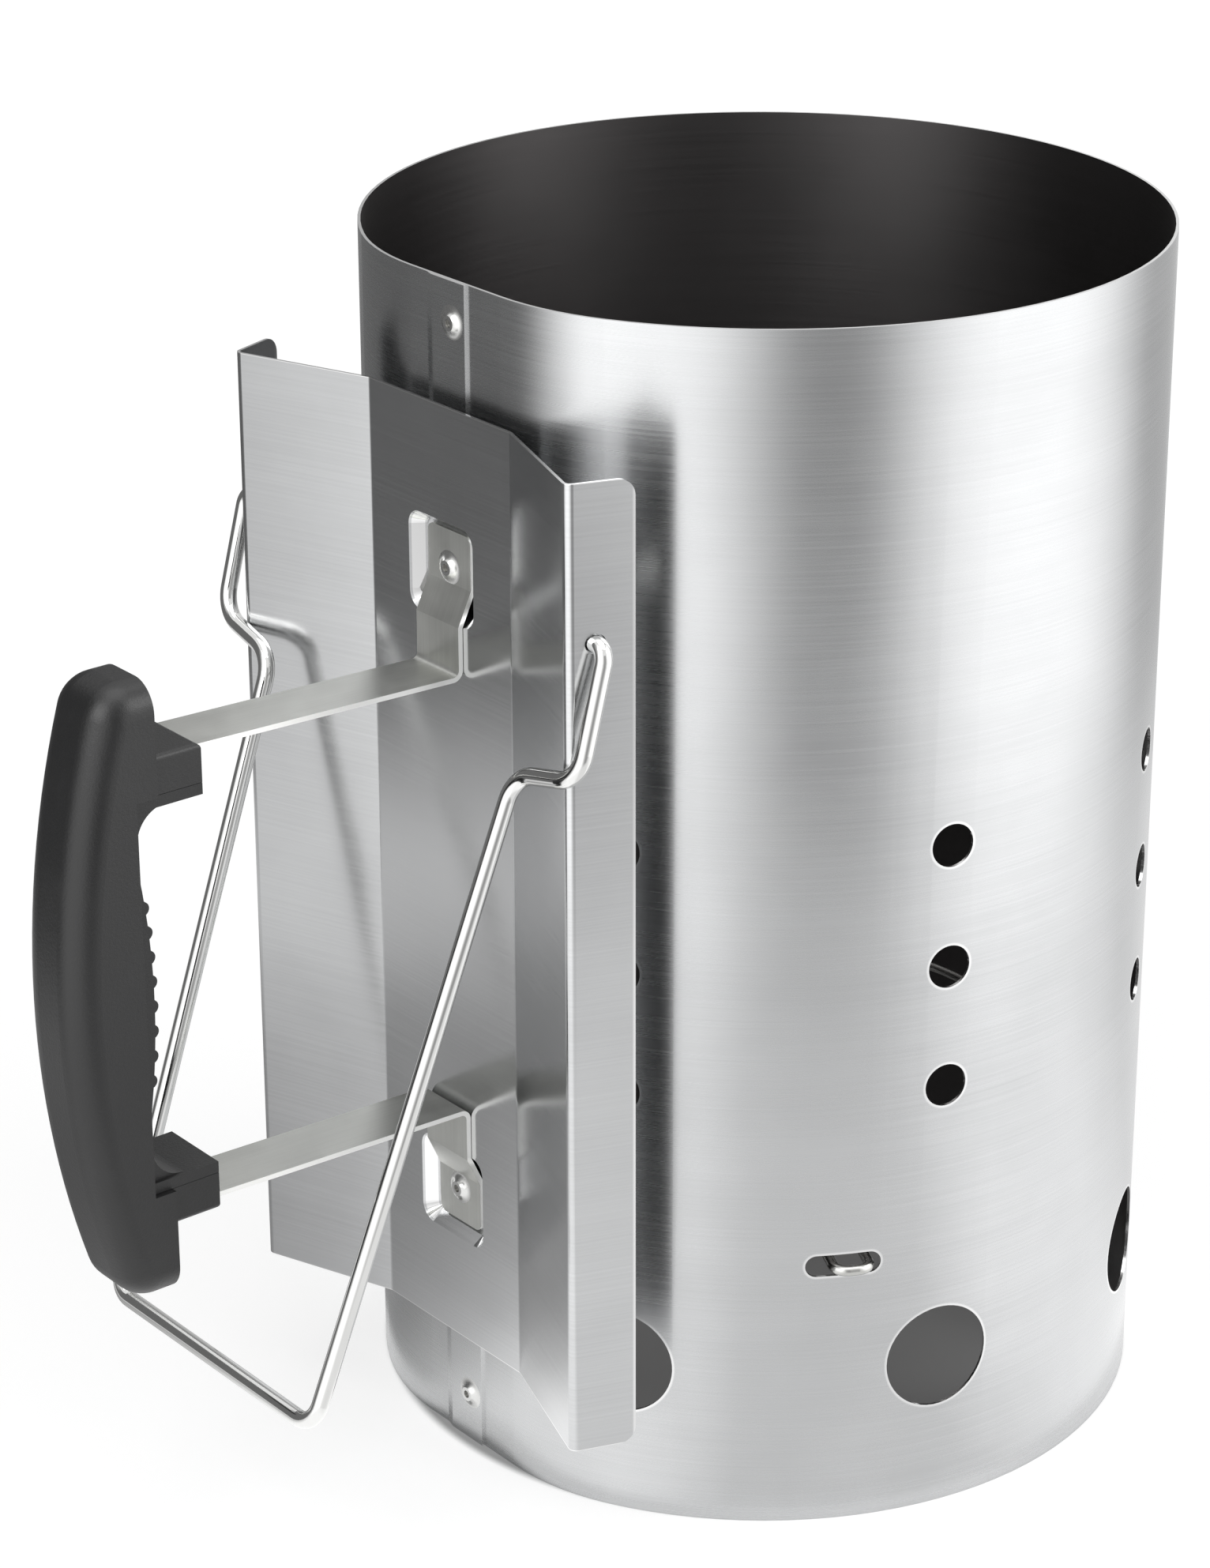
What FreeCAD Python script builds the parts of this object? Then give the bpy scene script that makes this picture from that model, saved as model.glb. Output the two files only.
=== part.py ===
"""Chimney charcoal starter: a vented steel cylinder with a wire grate, a folded heat shield,
a strap handle with a two-piece grip, and a swinging wire bail.

Frame: origin on the axis of the cylinder at its bottom rim, +Z up, the handle on the +X side.
"""
import FreeCAD, Part
import math
import os
import Sketcher

Vector = FreeCAD.Vector
Rotation = FreeCAD.Rotation
Placement = FreeCAD.Placement

# Driving dimensions in millimetres, and in degrees where the name says so.
SIZES = [
    # rolled shell
    ("shell_radius", 95.25),
    ("shell_height", 295.5),
    ("shell_sheet", 0.7),
    ("flat_depth", 4.05),
    ("flat_blend", 60.0),
    ("lap_low", -7.5),
    ("lap_high", 4.5),
    ("lap_ramp", 2.5),
    ("vent_count", 7),
    ("vent_first_deg", 29.5),
    ("vent_pitch_deg", 46.8),
    ("big_vent_radius", 13.2),
    ("big_vent_height", 40.0),
    ("small_vent_radius", 5.25),
    ("small_vent_height", 111.7),
    ("small_vent_pitch", 30.15),
    ("slot_count", 4),
    ("slot_first_deg", 61.6),
    ("slot_length", 18.1),
    ("slot_width", 5.5),
    ("slot_height", 68.7),
    # blind rivets
    ("rivet_shank_radius", 2.0),
    ("rivet_head_radius", 4.0),
    ("rivet_head_height", 1.2),
    ("rivet_bulb_radius", 2.7),
    ("rivet_bulb_length", 4.0),
    ("rivet_hole_play", 0.06),
    ("mandrel_radius", 0.9),
    ("mandrel_head_radius", 1.8),
    ("mandrel_head_length", 1.6),
    ("mandrel_play", 0.05),
    ("mandrel_recess", 0.5),
    ("seam_rivet_from_top", 9.5),
    ("seam_rivet_from_bottom", 13.0),
    # folded heat shield
    ("shield_sheet", 0.7),
    ("shield_bottom", 32.0),
    ("shield_height", 236.0),
    ("seat_depth", 3.6),
    ("panel_half_width", 25.8),
    ("wing_forward", 12.8),
    ("wing_width", 35.8),
    ("flange_length", 15.0),
    ("flange_flare", 5.3),
    ("shield_bend", 2.0),
    ("flange_corner", 4.0),
    ("seat_width", 24.0),
    ("seat_height", 23.7),
    ("seat_margin", 2.8),
    ("seat_draft_deg", 35.0),
    ("seat_corner", 4.0),
    # handle strap
    ("strap_width", 15.8),
    ("strap_thickness", 1.2),
    ("strap_bend", 1.5),
    ("foot_corner", 2.0),
    ("foot_rivet_inset", 9.0),
    ("foot_seat_length", 13.0),
    ("foot_ramp_length", 7.9),
    ("foot_lift", 0.1),
    ("upper_foot_length", 33.55),
    ("lower_foot_length", 32.85),
    ("upper_arm_height", 204.45),
    ("lower_arm_height", 94.55),
    ("arm_rise", 2.7),
    ("handle_depth", 96.7),
    # grip
    ("grip_overhang", 17.1),
    ("grip_width", 22.0),
    ("grip_cover", 11.8),
    ("grip_crown", 230.0),
    ("grip_end_depth", 12.0),
    ("grip_side_depth", 6.5),
    ("grip_end_corner", 9.0),
    ("grip_edge", 7.0),
    ("lug_depth", 24.4),
    ("lug_width", 19.0),
    ("lug_cover", 1.35),
    ("lug_height", 11.9),
    ("lug_corner", 1.2),
    ("lip_thickness", 2.8),
    ("strap_play", 0.1),
    ("front_width", 17.0),
    ("front_swell", 2.5),
    ("front_thickness", 3.7),
    ("front_bed", 4.0),
    ("front_blend", 8.0),
    ("swell_half_length", 30.0),
    ("half_play", 0.1),
    ("rib_count", 8),
    ("rib_pitch", 6.0),
    ("rib_radius", 1.7),
    ("rib_width", 14.6),
    ("screw_offset", 36.0),
    ("screw_radius", 1.5),
    ("screw_head_radius", 2.9),
    ("screw_head_height", 1.7),
    ("screw_length", 11.0),
    ("screw_recess", 2.0),
    ("screw_play", 0.05),
    ("screw_slot_width", 0.8),
    ("screw_slot_depth", 0.9),
    # wire bail
    ("bail_wire_radius", 2.0),
    ("bail_hole_play", 0.3),
    ("pivot_inset", 6.4),
    ("pivot_height", 231.5),
    ("bail_hook", 11.4),
    ("bail_leg_gap", 0.7),
    ("bail_jog_top", 30.0),
    ("bail_jog_bottom", 34.6),
    ("bail_inner_half_width", 46.7),
    ("bail_bottom_half_width", 40.6),
    ("bail_bottom_out", 63.9),
    ("bail_bottom_drop", 180.8),
    ("bail_stop_gap", 0.3),
    ("bail_eye_bend", 3.6),
    ("bail_jog_bend", 8.0),
    ("bail_corner_bend", 6.0),
    # wire grate
    ("grate_wire_radius", 1.25),
    ("grate_seat_gap", 0.3),
    ("loop_spacing", 8.6),
    ("loop_stand_out", 2.3),
    ("loop_shift", 0.3),
    ("loop_bend", 3.2),
    ("spoke_start", 15.5),
    ("spoke_knee", 84.0),
    ("spoke_rise", 32.0),
    ("spoke_knee_bend", 8.0),
    ("ring_outer_radius", 70.0),
    ("ring_middle_radius", 44.0),
    ("ring_inner_radius", 18.0),
    ("weld_gap", 0.25),
]

# Places that follow from the driving dimensions.
FOLLOWING = [
    ("flat_reach", "shell_radius - flat_depth"),
    ("lap_face", "flat_reach + shell_sheet"),
    ("seat_face", "lap_face + shield_sheet"),
    ("foot_face", "seat_face + strap_thickness"),
    ("panel_reach", "seat_face + seat_depth"),
    ("wing_reach", "panel_reach + wing_forward"),
    ("wing_half_width", "panel_half_width + wing_width"),
    ("flange_reach", "wing_reach - flange_length"),
    ("flange_half_width", "wing_half_width + flange_flare"),
    ("arm_face", "panel_reach + foot_lift"),
    ("strap_reach", "arm_face + handle_depth"),
    ("arm_slope", "arm_rise / handle_depth"),
    ("upper_foot_end", "upper_arm_height + upper_foot_length"),
    ("lower_foot_end", "lower_arm_height - lower_foot_length"),
    ("grip_middle", "(upper_arm_height + lower_arm_height + strap_thickness + arm_rise) / 2"),
    ("lug_outer", "(upper_arm_height - lower_arm_height + strap_thickness) / 2 + lug_cover"),
    ("parting", "lug_outer - lug_height + lip_thickness"),
    ("grip_half_length", "lug_outer + grip_overhang"),
    ("grip_reach", "strap_reach + grip_cover"),
    ("grip_end_face", "strap_reach - grip_end_depth"),
    ("grip_side_face", "strap_reach - grip_side_depth"),
    ("lug_face", "strap_reach - lug_depth"),
    ("front_back", "strap_reach - front_bed"),
    ("front_edge", "front_back - front_thickness"),
    ("front_reach", "front_edge - front_swell"),
    ("screw_seat", "front_edge + screw_recess"),
    ("pivot_reach", "wing_reach - pivot_inset"),
    ("bail_leg_half_width", "flange_half_width + bail_leg_gap"),
    ("bail_end", "bail_leg_half_width - bail_hook"),
    ("bail_bottom_reach", "pivot_reach + bail_bottom_out"),
    ("bail_bottom_height", "pivot_height - bail_bottom_drop"),
    ("wire_level", "slot_height - slot_width / 2 + grate_wire_radius + grate_seat_gap"),
]


def make_sheet(doc):
    """Puts every driving dimension, and each place that follows, in a cell with an alias."""
    sheet = doc.addObject("Spreadsheet::Sheet", "size")
    contents = [(alias, str(value)) for alias, value in SIZES]
    contents += [(alias, f"={formula}") for alias, formula in FOLLOWING]
    for row, (alias, content) in enumerate(contents, start=1):
        sheet.set(f"A{row}", alias)
        sheet.set(f"B{row}", content)
        sheet.setAlias(f"B{row}", alias)
    doc.recompute()
    return sheet


DOC = FreeCAD.newDocument("chimney_starter")
SHEET = make_sheet(DOC)


def size(alias):
    """The value of one cell of the sheet."""
    return float(SHEET.get(alias))


def cells(text):
    """An expression in which every alias of the sheet is written as size.alias."""
    words = []
    word = ""
    for letter in text + " ":
        if letter.isalnum() or letter == "_":
            word += letter
            continue
        words.append(f"size.{word}" if word in ALIASES else word)
        words.append(letter)
        word = ""
    return "".join(words).strip()


ALIASES = {alias for alias, content in SIZES + FOLLOWING}


def worth(text):
    """The number that an expression on the sheet comes to."""
    found = SHEET.evalExpression(cells(text))
    return float(getattr(found, "Value", found))


def bind(thing, path, text):
    """Binds a property to an expression on the sheet."""
    thing.setExpression(path, cells(text))


# Features of a body


def new_body(name):
    body = DOC.addObject("PartDesign::Body", name)
    body.Label = name
    return body


def origin_part(body, role):
    """A plane or an axis of the body's own origin."""
    return next(part for part in body.Origin.OriginFeatures if part.Role == role)


def new_sketch(body, name, role, offset="0", turn=None):
    """A sketch on an origin plane, moved along its normal and turned about its own Y axis."""
    sketch = body.newObject("Sketcher::SketchObject", name)
    sketch.AttachmentSupport = [(origin_part(body, role), "")]
    sketch.MapMode = "FlatFace"
    if turn is not None:
        sketch.AttachmentOffset = Placement(Vector(0, 0, 0), Rotation(Vector(0, 1, 0), worth(turn)))
        bind(sketch, "AttachmentOffset.Rotation.Angle", turn)
    elif offset != "0":
        sketch.AttachmentOffset = Placement(Vector(0, 0, worth(offset)), Rotation())
        bind(sketch, "AttachmentOffset.Base.z", offset)
    return sketch


def pin_point(sketch, geometry, point, across, up):
    """Ties one end or centre to two expressions, measured from the sketch's origin."""
    for kind, text in (("DistanceX", across), ("DistanceY", up)):
        number = sketch.addConstraint(
            Sketcher.Constraint(kind, -1, 1, geometry, point, worth(text))
        )
        bind(sketch, f"Constraints[{number}]", text)


def add_outline(sketch, corners, arcs=None):
    """A closed outline through corners given as pairs of expressions.

    arcs maps the number of a side to the expression of its radius: the side bulges to the right
    of its direction of travel, or to the left when the expression has a leading minus sign.
    """
    arcs = arcs or {}
    points = [Vector(worth(across), worth(up), 0) for across, up in corners]
    count = len(points)
    sides = []
    for side, start in enumerate(points):
        end = points[(side + 1) % count]
        if side not in arcs:
            geometry = sketch.addGeometry(Part.LineSegment(start, end), False)
            sides.append((geometry, 1, 2))
            continue
        curve = Part.Arc(start, arc_middle(start, end, arcs[side]), end)
        geometry = sketch.addGeometry(curve, False)
        forward = sketch.getPoint(geometry, 1).distanceToPoint(start) < 1e-6
        sides.append((geometry, 1, 2) if forward else (geometry, 2, 1))
        text = arcs[side].lstrip("-")
        number = sketch.addConstraint(Sketcher.Constraint("Radius", geometry, worth(text)))
        bind(sketch, f"Constraints[{number}]", text)
    for side, (geometry, first, last) in enumerate(sides):
        following, start, end = sides[(side + 1) % count]
        sketch.addConstraint(Sketcher.Constraint("Coincident", geometry, last, following, start))
        pin_point(sketch, geometry, first, *corners[side])


def arc_middle(start, end, radius_text):
    """The middle point of a shallow arc between two points."""
    radius = worth(radius_text.lstrip("-"))
    chord = end - start
    sagitta = radius - math.sqrt(radius**2 - chord.Length**2 / 4)
    right = Vector(chord.y, -chord.x, 0).normalize()
    side = -1 if radius_text.startswith("-") else 1
    return (start + end) * 0.5 + right * (sagitta * side)


def add_circle(sketch, across, up, radius):
    centre = Vector(worth(across), worth(up), 0)
    geometry = sketch.addGeometry(Part.Circle(centre, Vector(0, 0, 1), worth(radius)), False)
    number = sketch.addConstraint(Sketcher.Constraint("Radius", geometry, worth(radius)))
    bind(sketch, f"Constraints[{number}]", radius)
    pin_point(sketch, geometry, 3, across, up)


def add_rounded(sketch, low_across, low_up, high_across, high_up, radius):
    """A rectangle with four equal round corners."""
    left, right = f"({low_across}) + {radius}", f"({high_across}) - {radius}"
    low, high = f"({low_up}) + {radius}", f"({high_up}) - {radius}"
    corners = [(left, low_up), (right, low_up), (high_across, low), (high_across, high)]
    corners += [(right, high_up), (left, high_up), (low_across, high), (low_across, low)]
    add_outline(sketch, corners, arcs={side: radius for side in (1, 3, 5, 7)})


def add_slot(sketch, length, width, up):
    """A level round-ended slot centred on the sketch's upright axis."""
    half = f"({length} - {width}) / 2"
    reach = worth(half)
    radius = worth(f"{width} / 2")
    height = worth(up)
    normal = Vector(0, 0, 1)
    right = Part.Circle(Vector(reach, height, 0), normal, radius)
    left = Part.Circle(Vector(-reach, height, 0), normal, radius)
    quarter = math.pi / 2
    a = sketch.addGeometry(Part.ArcOfCircle(right, -quarter, quarter), False)
    line = Part.LineSegment(Vector(reach, height + radius, 0), Vector(-reach, height + radius, 0))
    b = sketch.addGeometry(line, False)
    c = sketch.addGeometry(Part.ArcOfCircle(left, quarter, 3 * quarter), False)
    line = Part.LineSegment(Vector(-reach, height - radius, 0), Vector(reach, height - radius, 0))
    d = sketch.addGeometry(line, False)
    for first, second in ((a, b), (b, c), (c, d), (d, a)):
        sketch.addConstraint(Sketcher.Constraint("Tangent", first, 2, second, 1))
    number = sketch.addConstraint(Sketcher.Constraint("Radius", a, radius))
    bind(sketch, f"Constraints[{number}]", f"{width} / 2")
    pin_point(sketch, a, 3, half, up)
    pin_point(sketch, c, 3, f"-{half}", up)


def add_rectangle(sketch, low_across, low_up, high_across, high_up):
    add_outline(
        sketch,
        [(low_across, low_up), (high_across, low_up), (high_across, high_up), (low_across, high_up)],
    )


def extrude(body, sketch, length, kind="Pad", both_ways=False, reverse=False, draft=None):
    """A Pad or a Pocket of a sketch, with its length and its draft angle bound to the sheet."""
    feature = body.newObject(f"PartDesign::{kind}", f"{sketch.Name}_{kind.lower()}")
    feature.Profile = sketch
    feature.SideType = "Symmetric" if both_ways else "One side"
    feature.Reversed = reverse
    bind(feature, "Length", length)
    if draft is not None:
        bind(feature, "TaperAngle", draft)
    sketch.Visibility = False
    DOC.recompute()
    return feature


def pocket(body, sketch, length, both_ways=False, reverse=False, draft=None):
    """A Pocket that has to take material away."""
    before = body.Shape.Volume
    feature = extrude(body, sketch, length, "Pocket", both_ways, reverse, draft)
    if body.Shape.Volume > before - 1e-6:
        raise RuntimeError(f"{feature.Name} cuts nothing")
    return feature


def repeat_round(body, feature, count, step):
    """Copies of a feature about the Z axis, step degrees apart."""
    pattern = body.newObject("PartDesign::PolarPattern", f"{feature.Name}_round")
    pattern.Originals = [feature]
    pattern.Axis = (origin_part(body, "Z_Axis"), [""])
    pattern.Mode = "Spacing"
    bind(pattern, "Offset", step)
    bind(pattern, "Occurrences", count)
    body.Tip = pattern
    DOC.recompute()
    return pattern


def edges_at(body, wanted):
    """Names of the edges of a body's present shape that a test on their ends accepts."""
    names = []
    for number, edge in enumerate(body.Shape.Edges, start=1):
        ends = [vertex.Point for vertex in edge.Vertexes]
        if len(ends) == 2 and wanted(edge, ends[0], ends[1]):
            names.append(f"Edge{number}")
    return names


def round_edges(body, name, radius, wanted):
    """A Fillet on the edges that a test accepts."""
    names = edges_at(body, wanted)
    if not names:
        raise RuntimeError(f"{name} finds no edge")
    feature = body.newObject("PartDesign::Fillet", name)
    feature.Base = (body.Tip if body.Tip != feature else feature.BaseFeature, names)
    bind(feature, "Radius", radius)
    DOC.recompute()
    return feature


def near(value, text):
    return abs(value - worth(text)) < 0.02


# Chimney shell


def add_flat_round(sketch, inset):
    """A circle about the origin with one flat, and a blend arc each side of the flat."""
    radius = worth(f"shell_radius - {inset}")
    blend = worth(f"flat_blend - {inset}")
    reach = worth(f"flat_reach - {inset}")
    across = reach - blend
    up = math.sqrt((radius - blend) ** 2 - across**2)
    turn = math.atan2(up, across)
    normal = Vector(0, 0, 1)
    circle = Part.Circle(Vector(0, 0, 0), normal, radius)
    upper = Part.Circle(Vector(across, up, 0), normal, blend)
    lower = Part.Circle(Vector(across, -up, 0), normal, blend)
    big = sketch.addGeometry(Part.ArcOfCircle(circle, turn, 2 * math.pi - turn), False)
    low = sketch.addGeometry(Part.ArcOfCircle(lower, -turn, 0), False)
    flat = sketch.addGeometry(
        Part.LineSegment(Vector(reach, -up, 0), Vector(reach, up, 0)), False
    )
    high = sketch.addGeometry(Part.ArcOfCircle(upper, 0, turn), False)
    sketch.addConstraint(
        [
            Sketcher.Constraint("Coincident", big, 3, -1, 1),
            Sketcher.Constraint("Tangent", big, 2, low, 1),
            Sketcher.Constraint("Tangent", low, 2, flat, 1),
            Sketcher.Constraint("Tangent", flat, 2, high, 1),
            Sketcher.Constraint("Tangent", high, 2, big, 1),
            Sketcher.Constraint("Vertical", flat),
            Sketcher.Constraint("Equal", low, high),
        ]
    )
    for geometry, text in ((big, "shell_radius"), (low, "flat_blend")):
        text = f"{text} - {inset}"
        number = sketch.addConstraint(Sketcher.Constraint("Radius", geometry, worth(text)))
        bind(sketch, f"Constraints[{number}]", text)
    text = f"flat_reach - {inset}"
    number = sketch.addConstraint(Sketcher.Constraint("DistanceX", -1, 1, flat, 1, worth(text)))
    bind(sketch, f"Constraints[{number}]", text)


def chimney_shell():
    """One rolled sheet with a flat for the handle, a lap seam, vents and grate slots."""
    body = new_body("chimney_shell")
    section = new_sketch(body, "shell_section", "XY_Plane")
    add_flat_round(section, "0")
    add_flat_round(section, "shell_sheet")
    extrude(body, section, "shell_height")

    lap = new_sketch(body, "shell_lap", "XY_Plane")
    root = "flat_reach - shell_sheet / 2"
    top = "lap_face"
    add_outline(
        lap,
        [
            (root, "lap_low - lap_ramp"),
            ("flat_reach", "lap_low - lap_ramp"),
            (top, "lap_low"),
            (top, "lap_high"),
            (root, "lap_high"),
        ],
    )
    extrude(body, lap, "shell_height")

    reach = "shell_radius + flat_blend"
    vents = new_sketch(body, "vent_column", "XZ_Plane", turn="vent_first_deg - 90")
    add_circle(vents, "0", "big_vent_height", "big_vent_radius")
    for row in range(3):
        add_circle(vents, "0", f"small_vent_height + {row} * small_vent_pitch", "small_vent_radius")
    column = pocket(body, vents, reach)
    repeat_round(body, column, "vent_count", "vent_pitch_deg")

    slot = new_sketch(body, "grate_slot", "XZ_Plane", turn="slot_first_deg - 90")
    add_slot(slot, "slot_length", "slot_width", "slot_height")
    first = pocket(body, slot, reach)
    repeat_round(body, first, "slot_count", "360 / slot_count")

    holes = new_sketch(body, "shell_rivet_holes", "YZ_Plane")
    for height in RIVET_HEIGHTS.values():
        add_circle(holes, "0", height, "rivet_shank_radius + rivet_hole_play")
    pocket(body, holes, reach, reverse=True)
    return body


# Heights of the four rivets, which all stand on the middle of the lap seam.
RIVET_HEIGHTS = {
    "seam_rivet_top": "shell_height - seam_rivet_from_top",
    "seam_rivet_bottom": "seam_rivet_from_bottom",
    "foot_rivet_upper": "upper_foot_end - foot_rivet_inset",
    "foot_rivet_lower": "lower_foot_end + foot_rivet_inset",
}


# Heat shield


def heat_shield():
    """A folded sheet: the outside form is drawn solid, then shelled to the sheet's thickness."""
    body = new_body("heat_shield")
    plan = new_sketch(body, "shield_plan", "XY_Plane", offset="shield_bottom")
    back = "flange_reach - (flange_half_width - wing_half_width) * 0.65"
    side = "flange_half_width - (wing_reach - flange_reach) * 0.65"
    add_outline(
        plan,
        [
            (back, f"-({side})"),
            ("flange_reach", "-flange_half_width"),
            ("wing_reach", "-wing_half_width"),
            ("panel_reach", "-panel_half_width"),
            ("panel_reach", "panel_half_width"),
            ("wing_reach", "wing_half_width"),
            ("flange_reach", "flange_half_width"),
            (back, side),
        ],
    )
    extrude(body, plan, "shield_height")
    bends = (("wing_reach", "wing_half_width"), ("panel_reach", "panel_half_width"))

    def is_bend(edge, low, high):
        upright = abs(low.x - high.x) < 1e-6 and abs(low.y - high.y) < 1e-6
        return upright and any(near(low.x, x) and near(abs(low.y), y) for x, y in bends)

    round_edges(body, "shield_bends", "shield_bend", is_bend)

    bottom = worth("shield_bottom")
    top = worth("shield_bottom + shield_height")
    flange = worth("flange_reach")
    opened = []
    for number, face in enumerate(body.Shape.Faces, start=1):
        box = face.BoundBox
        flat_end = box.ZLength < 1e-6 and (abs(box.ZMin - bottom) < 1e-6 or abs(box.ZMax - top) < 1e-6)
        if flat_end or box.XMin < worth(back) + 1e-6:
            opened.append(f"Face{number}")
    wall = body.newObject("PartDesign::Thickness", "shield_wall")
    wall.Base = (wall.BaseFeature, opened)
    wall.Join = "Arc"
    wall.Reversed = True
    bind(wall, "Value", "shield_sheet")
    DOC.recompute()

    spread = "(shield_sheet / cos(seat_draft_deg) - shield_sheet / 2 * tan(seat_draft_deg))"
    middle = "panel_reach - shield_sheet / 2"
    bosses = new_sketch(body, "seat_backs", "YZ_Plane", offset=middle)
    seats = new_sketch(body, "foot_seats", "YZ_Plane", offset="panel_reach")
    for low, high in SEAT_SPANS:
        half = "seat_width / 2"
        add_rounded(seats, f"-{half}", low, half, high, "seat_corner")
        outer = f"{half} + {spread}"
        round_outer = f"(seat_corner + {spread})"
        add_rounded(
            bosses, f"-({outer})", f"{low} - {spread}", outer, f"{high} + {spread}", round_outer
        )
    draft = "-seat_draft_deg"
    extrude(body, bosses, f"{middle} - lap_face", reverse=True, draft=draft)
    pocket(body, seats, "seat_depth", draft=draft)

    hook = new_sketch(body, "bail_hole", "XZ_Plane", offset="-bail_end - 2")
    add_circle(hook, "pivot_reach", "pivot_height", "bail_wire_radius + bail_hole_play")
    one = pocket(body, hook, "flange_half_width")
    both = body.newObject("PartDesign::Mirrored", "bail_holes")
    both.Originals = [one]
    both.MirrorPlane = (origin_part(body, "XZ_Plane"), [""])
    body.Tip = both
    DOC.recompute()

    holes = new_sketch(body, "seat_holes", "YZ_Plane")
    for name in ("foot_rivet_upper", "foot_rivet_lower"):
        add_circle(holes, "0", RIVET_HEIGHTS[name], "rivet_shank_radius + rivet_hole_play")
    pocket(body, holes, "wing_reach", reverse=True)

    def is_flange_corner(edge, low, high):
        ends = near(low.z, "shield_bottom") or near(low.z, "shield_bottom + shield_height")
        level = abs(low.z - high.z) < 1e-6
        return level and ends and near(edge.Length, "shield_sheet") and low.x < flange + 0.5

    round_edges(body, "flange_corners", "flange_corner", is_flange_corner)
    return body


# Each pressed seat runs from a margin past the end of the foot to where the foot has ramped out.
SEAT_SPANS = (
    ("upper_foot_end + seat_margin - seat_height", "upper_foot_end + seat_margin"),
    ("lower_foot_end - seat_margin", "lower_foot_end - seat_margin + seat_height"),
)


# Handle strap

def arm_at(arm, reach):
    """Height of the lower face of an arm of the strap at a distance from the axis."""
    return f"{arm}_arm_height + ({reach} - arm_face) * arm_slope"


def handle_strap():
    """A flat bar bent to a C, its joggled feet seated in the pressed seats of the shield."""
    body = new_body("handle_strap")
    profile = new_sketch(body, "strap_profile", "XZ_Plane")
    thick = "strap_thickness"
    ramp = "(arm_face - seat_face)"
    shift = f"{thick} * tan(atan({ramp} / foot_ramp_length) / 2)"
    inside = f"strap_reach - {thick}"
    high = f"upper_foot_end - foot_seat_length"
    low = f"lower_foot_end + foot_seat_length"
    front = f"arm_face + {thick}"
    add_outline(
        profile,
        [
            ("seat_face", "upper_foot_end"),
            ("seat_face", high),
            ("arm_face", f"{high} - foot_ramp_length"),
            ("arm_face", "upper_arm_height"),
            (inside, arm_at("upper", inside)),
            (inside, f"{arm_at('lower', inside)} + {thick}"),
            ("arm_face", f"lower_arm_height + {thick}"),
            ("arm_face", f"{low} + foot_ramp_length"),
            ("seat_face", low),
            ("seat_face", "lower_foot_end"),
            ("foot_face", "lower_foot_end"),
            ("foot_face", f"{low} - {shift}"),
            (front, f"{low} + foot_ramp_length - {shift}"),
            (front, arm_at("lower", front)),
            ("strap_reach", arm_at("lower", "strap_reach")),
            ("strap_reach", f"{arm_at('upper', 'strap_reach')} + {thick}"),
            (front, f"{arm_at('upper', front)} + {thick}"),
            (front, f"{high} - foot_ramp_length + {shift}"),
            ("foot_face", f"{high} + {shift}"),
            ("foot_face", "upper_foot_end"),
        ],
    )
    extrude(body, profile, "strap_width", both_ways=True)

    def crosses(edge, low, high):
        return abs(low.x - high.x) < 1e-6 and abs(low.z - high.z) < 1e-6

    def is_outer_bend(edge, low, high):
        spots = (
            ("arm_face", "upper_arm_height"),
            ("arm_face", f"lower_arm_height + {thick}"),
            ("strap_reach", arm_at("lower", "strap_reach")),
            ("strap_reach", f"{arm_at('upper', 'strap_reach')} + {thick}"),
        )
        return crosses(edge, low, high) and any(near(low.x, x) and near(low.z, z) for x, z in spots)

    def is_inner_bend(edge, low, high):
        spots = (
            (front, f"{arm_at('upper', front)} + {thick}"),
            (front, arm_at("lower", front)),
            (inside, arm_at("upper", inside)),
            (inside, f"{arm_at('lower', inside)} + {thick}"),
        )
        return crosses(edge, low, high) and any(near(low.x, x) and near(low.z, z) for x, z in spots)

    def is_foot_corner(edge, low, high):
        along = abs(low.z - high.z) < 1e-6 and abs(low.y - high.y) < 1e-6
        return along and (near(low.z, "upper_foot_end") or near(low.z, "lower_foot_end"))

    round_edges(body, "outer_bends", f"strap_bend + {thick}", is_outer_bend)
    round_edges(body, "inner_bends", "strap_bend", is_inner_bend)
    round_edges(body, "foot_corners", "foot_corner", is_foot_corner)

    holes = new_sketch(body, "strap_rivet_holes", "YZ_Plane")
    for name in ("foot_rivet_upper", "foot_rivet_lower"):
        add_circle(holes, "0", RIVET_HEIGHTS[name], "rivet_shank_radius + rivet_hole_play")
    pocket(body, holes, "arm_face", reverse=True)

    holes = new_sketch(body, "strap_screw_holes", "YZ_Plane", offset=f"{inside} - 5")
    for height in SCREW_HEIGHTS.values():
        add_circle(holes, "0", height, "screw_radius * 1.5")
    pocket(body, holes, "20", reverse=True)
    return body


SCREW_HEIGHTS = {
    "grip_screw_upper": "grip_middle + screw_offset",
    "grip_screw_lower": "grip_middle - screw_offset",
}


# Grip


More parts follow.
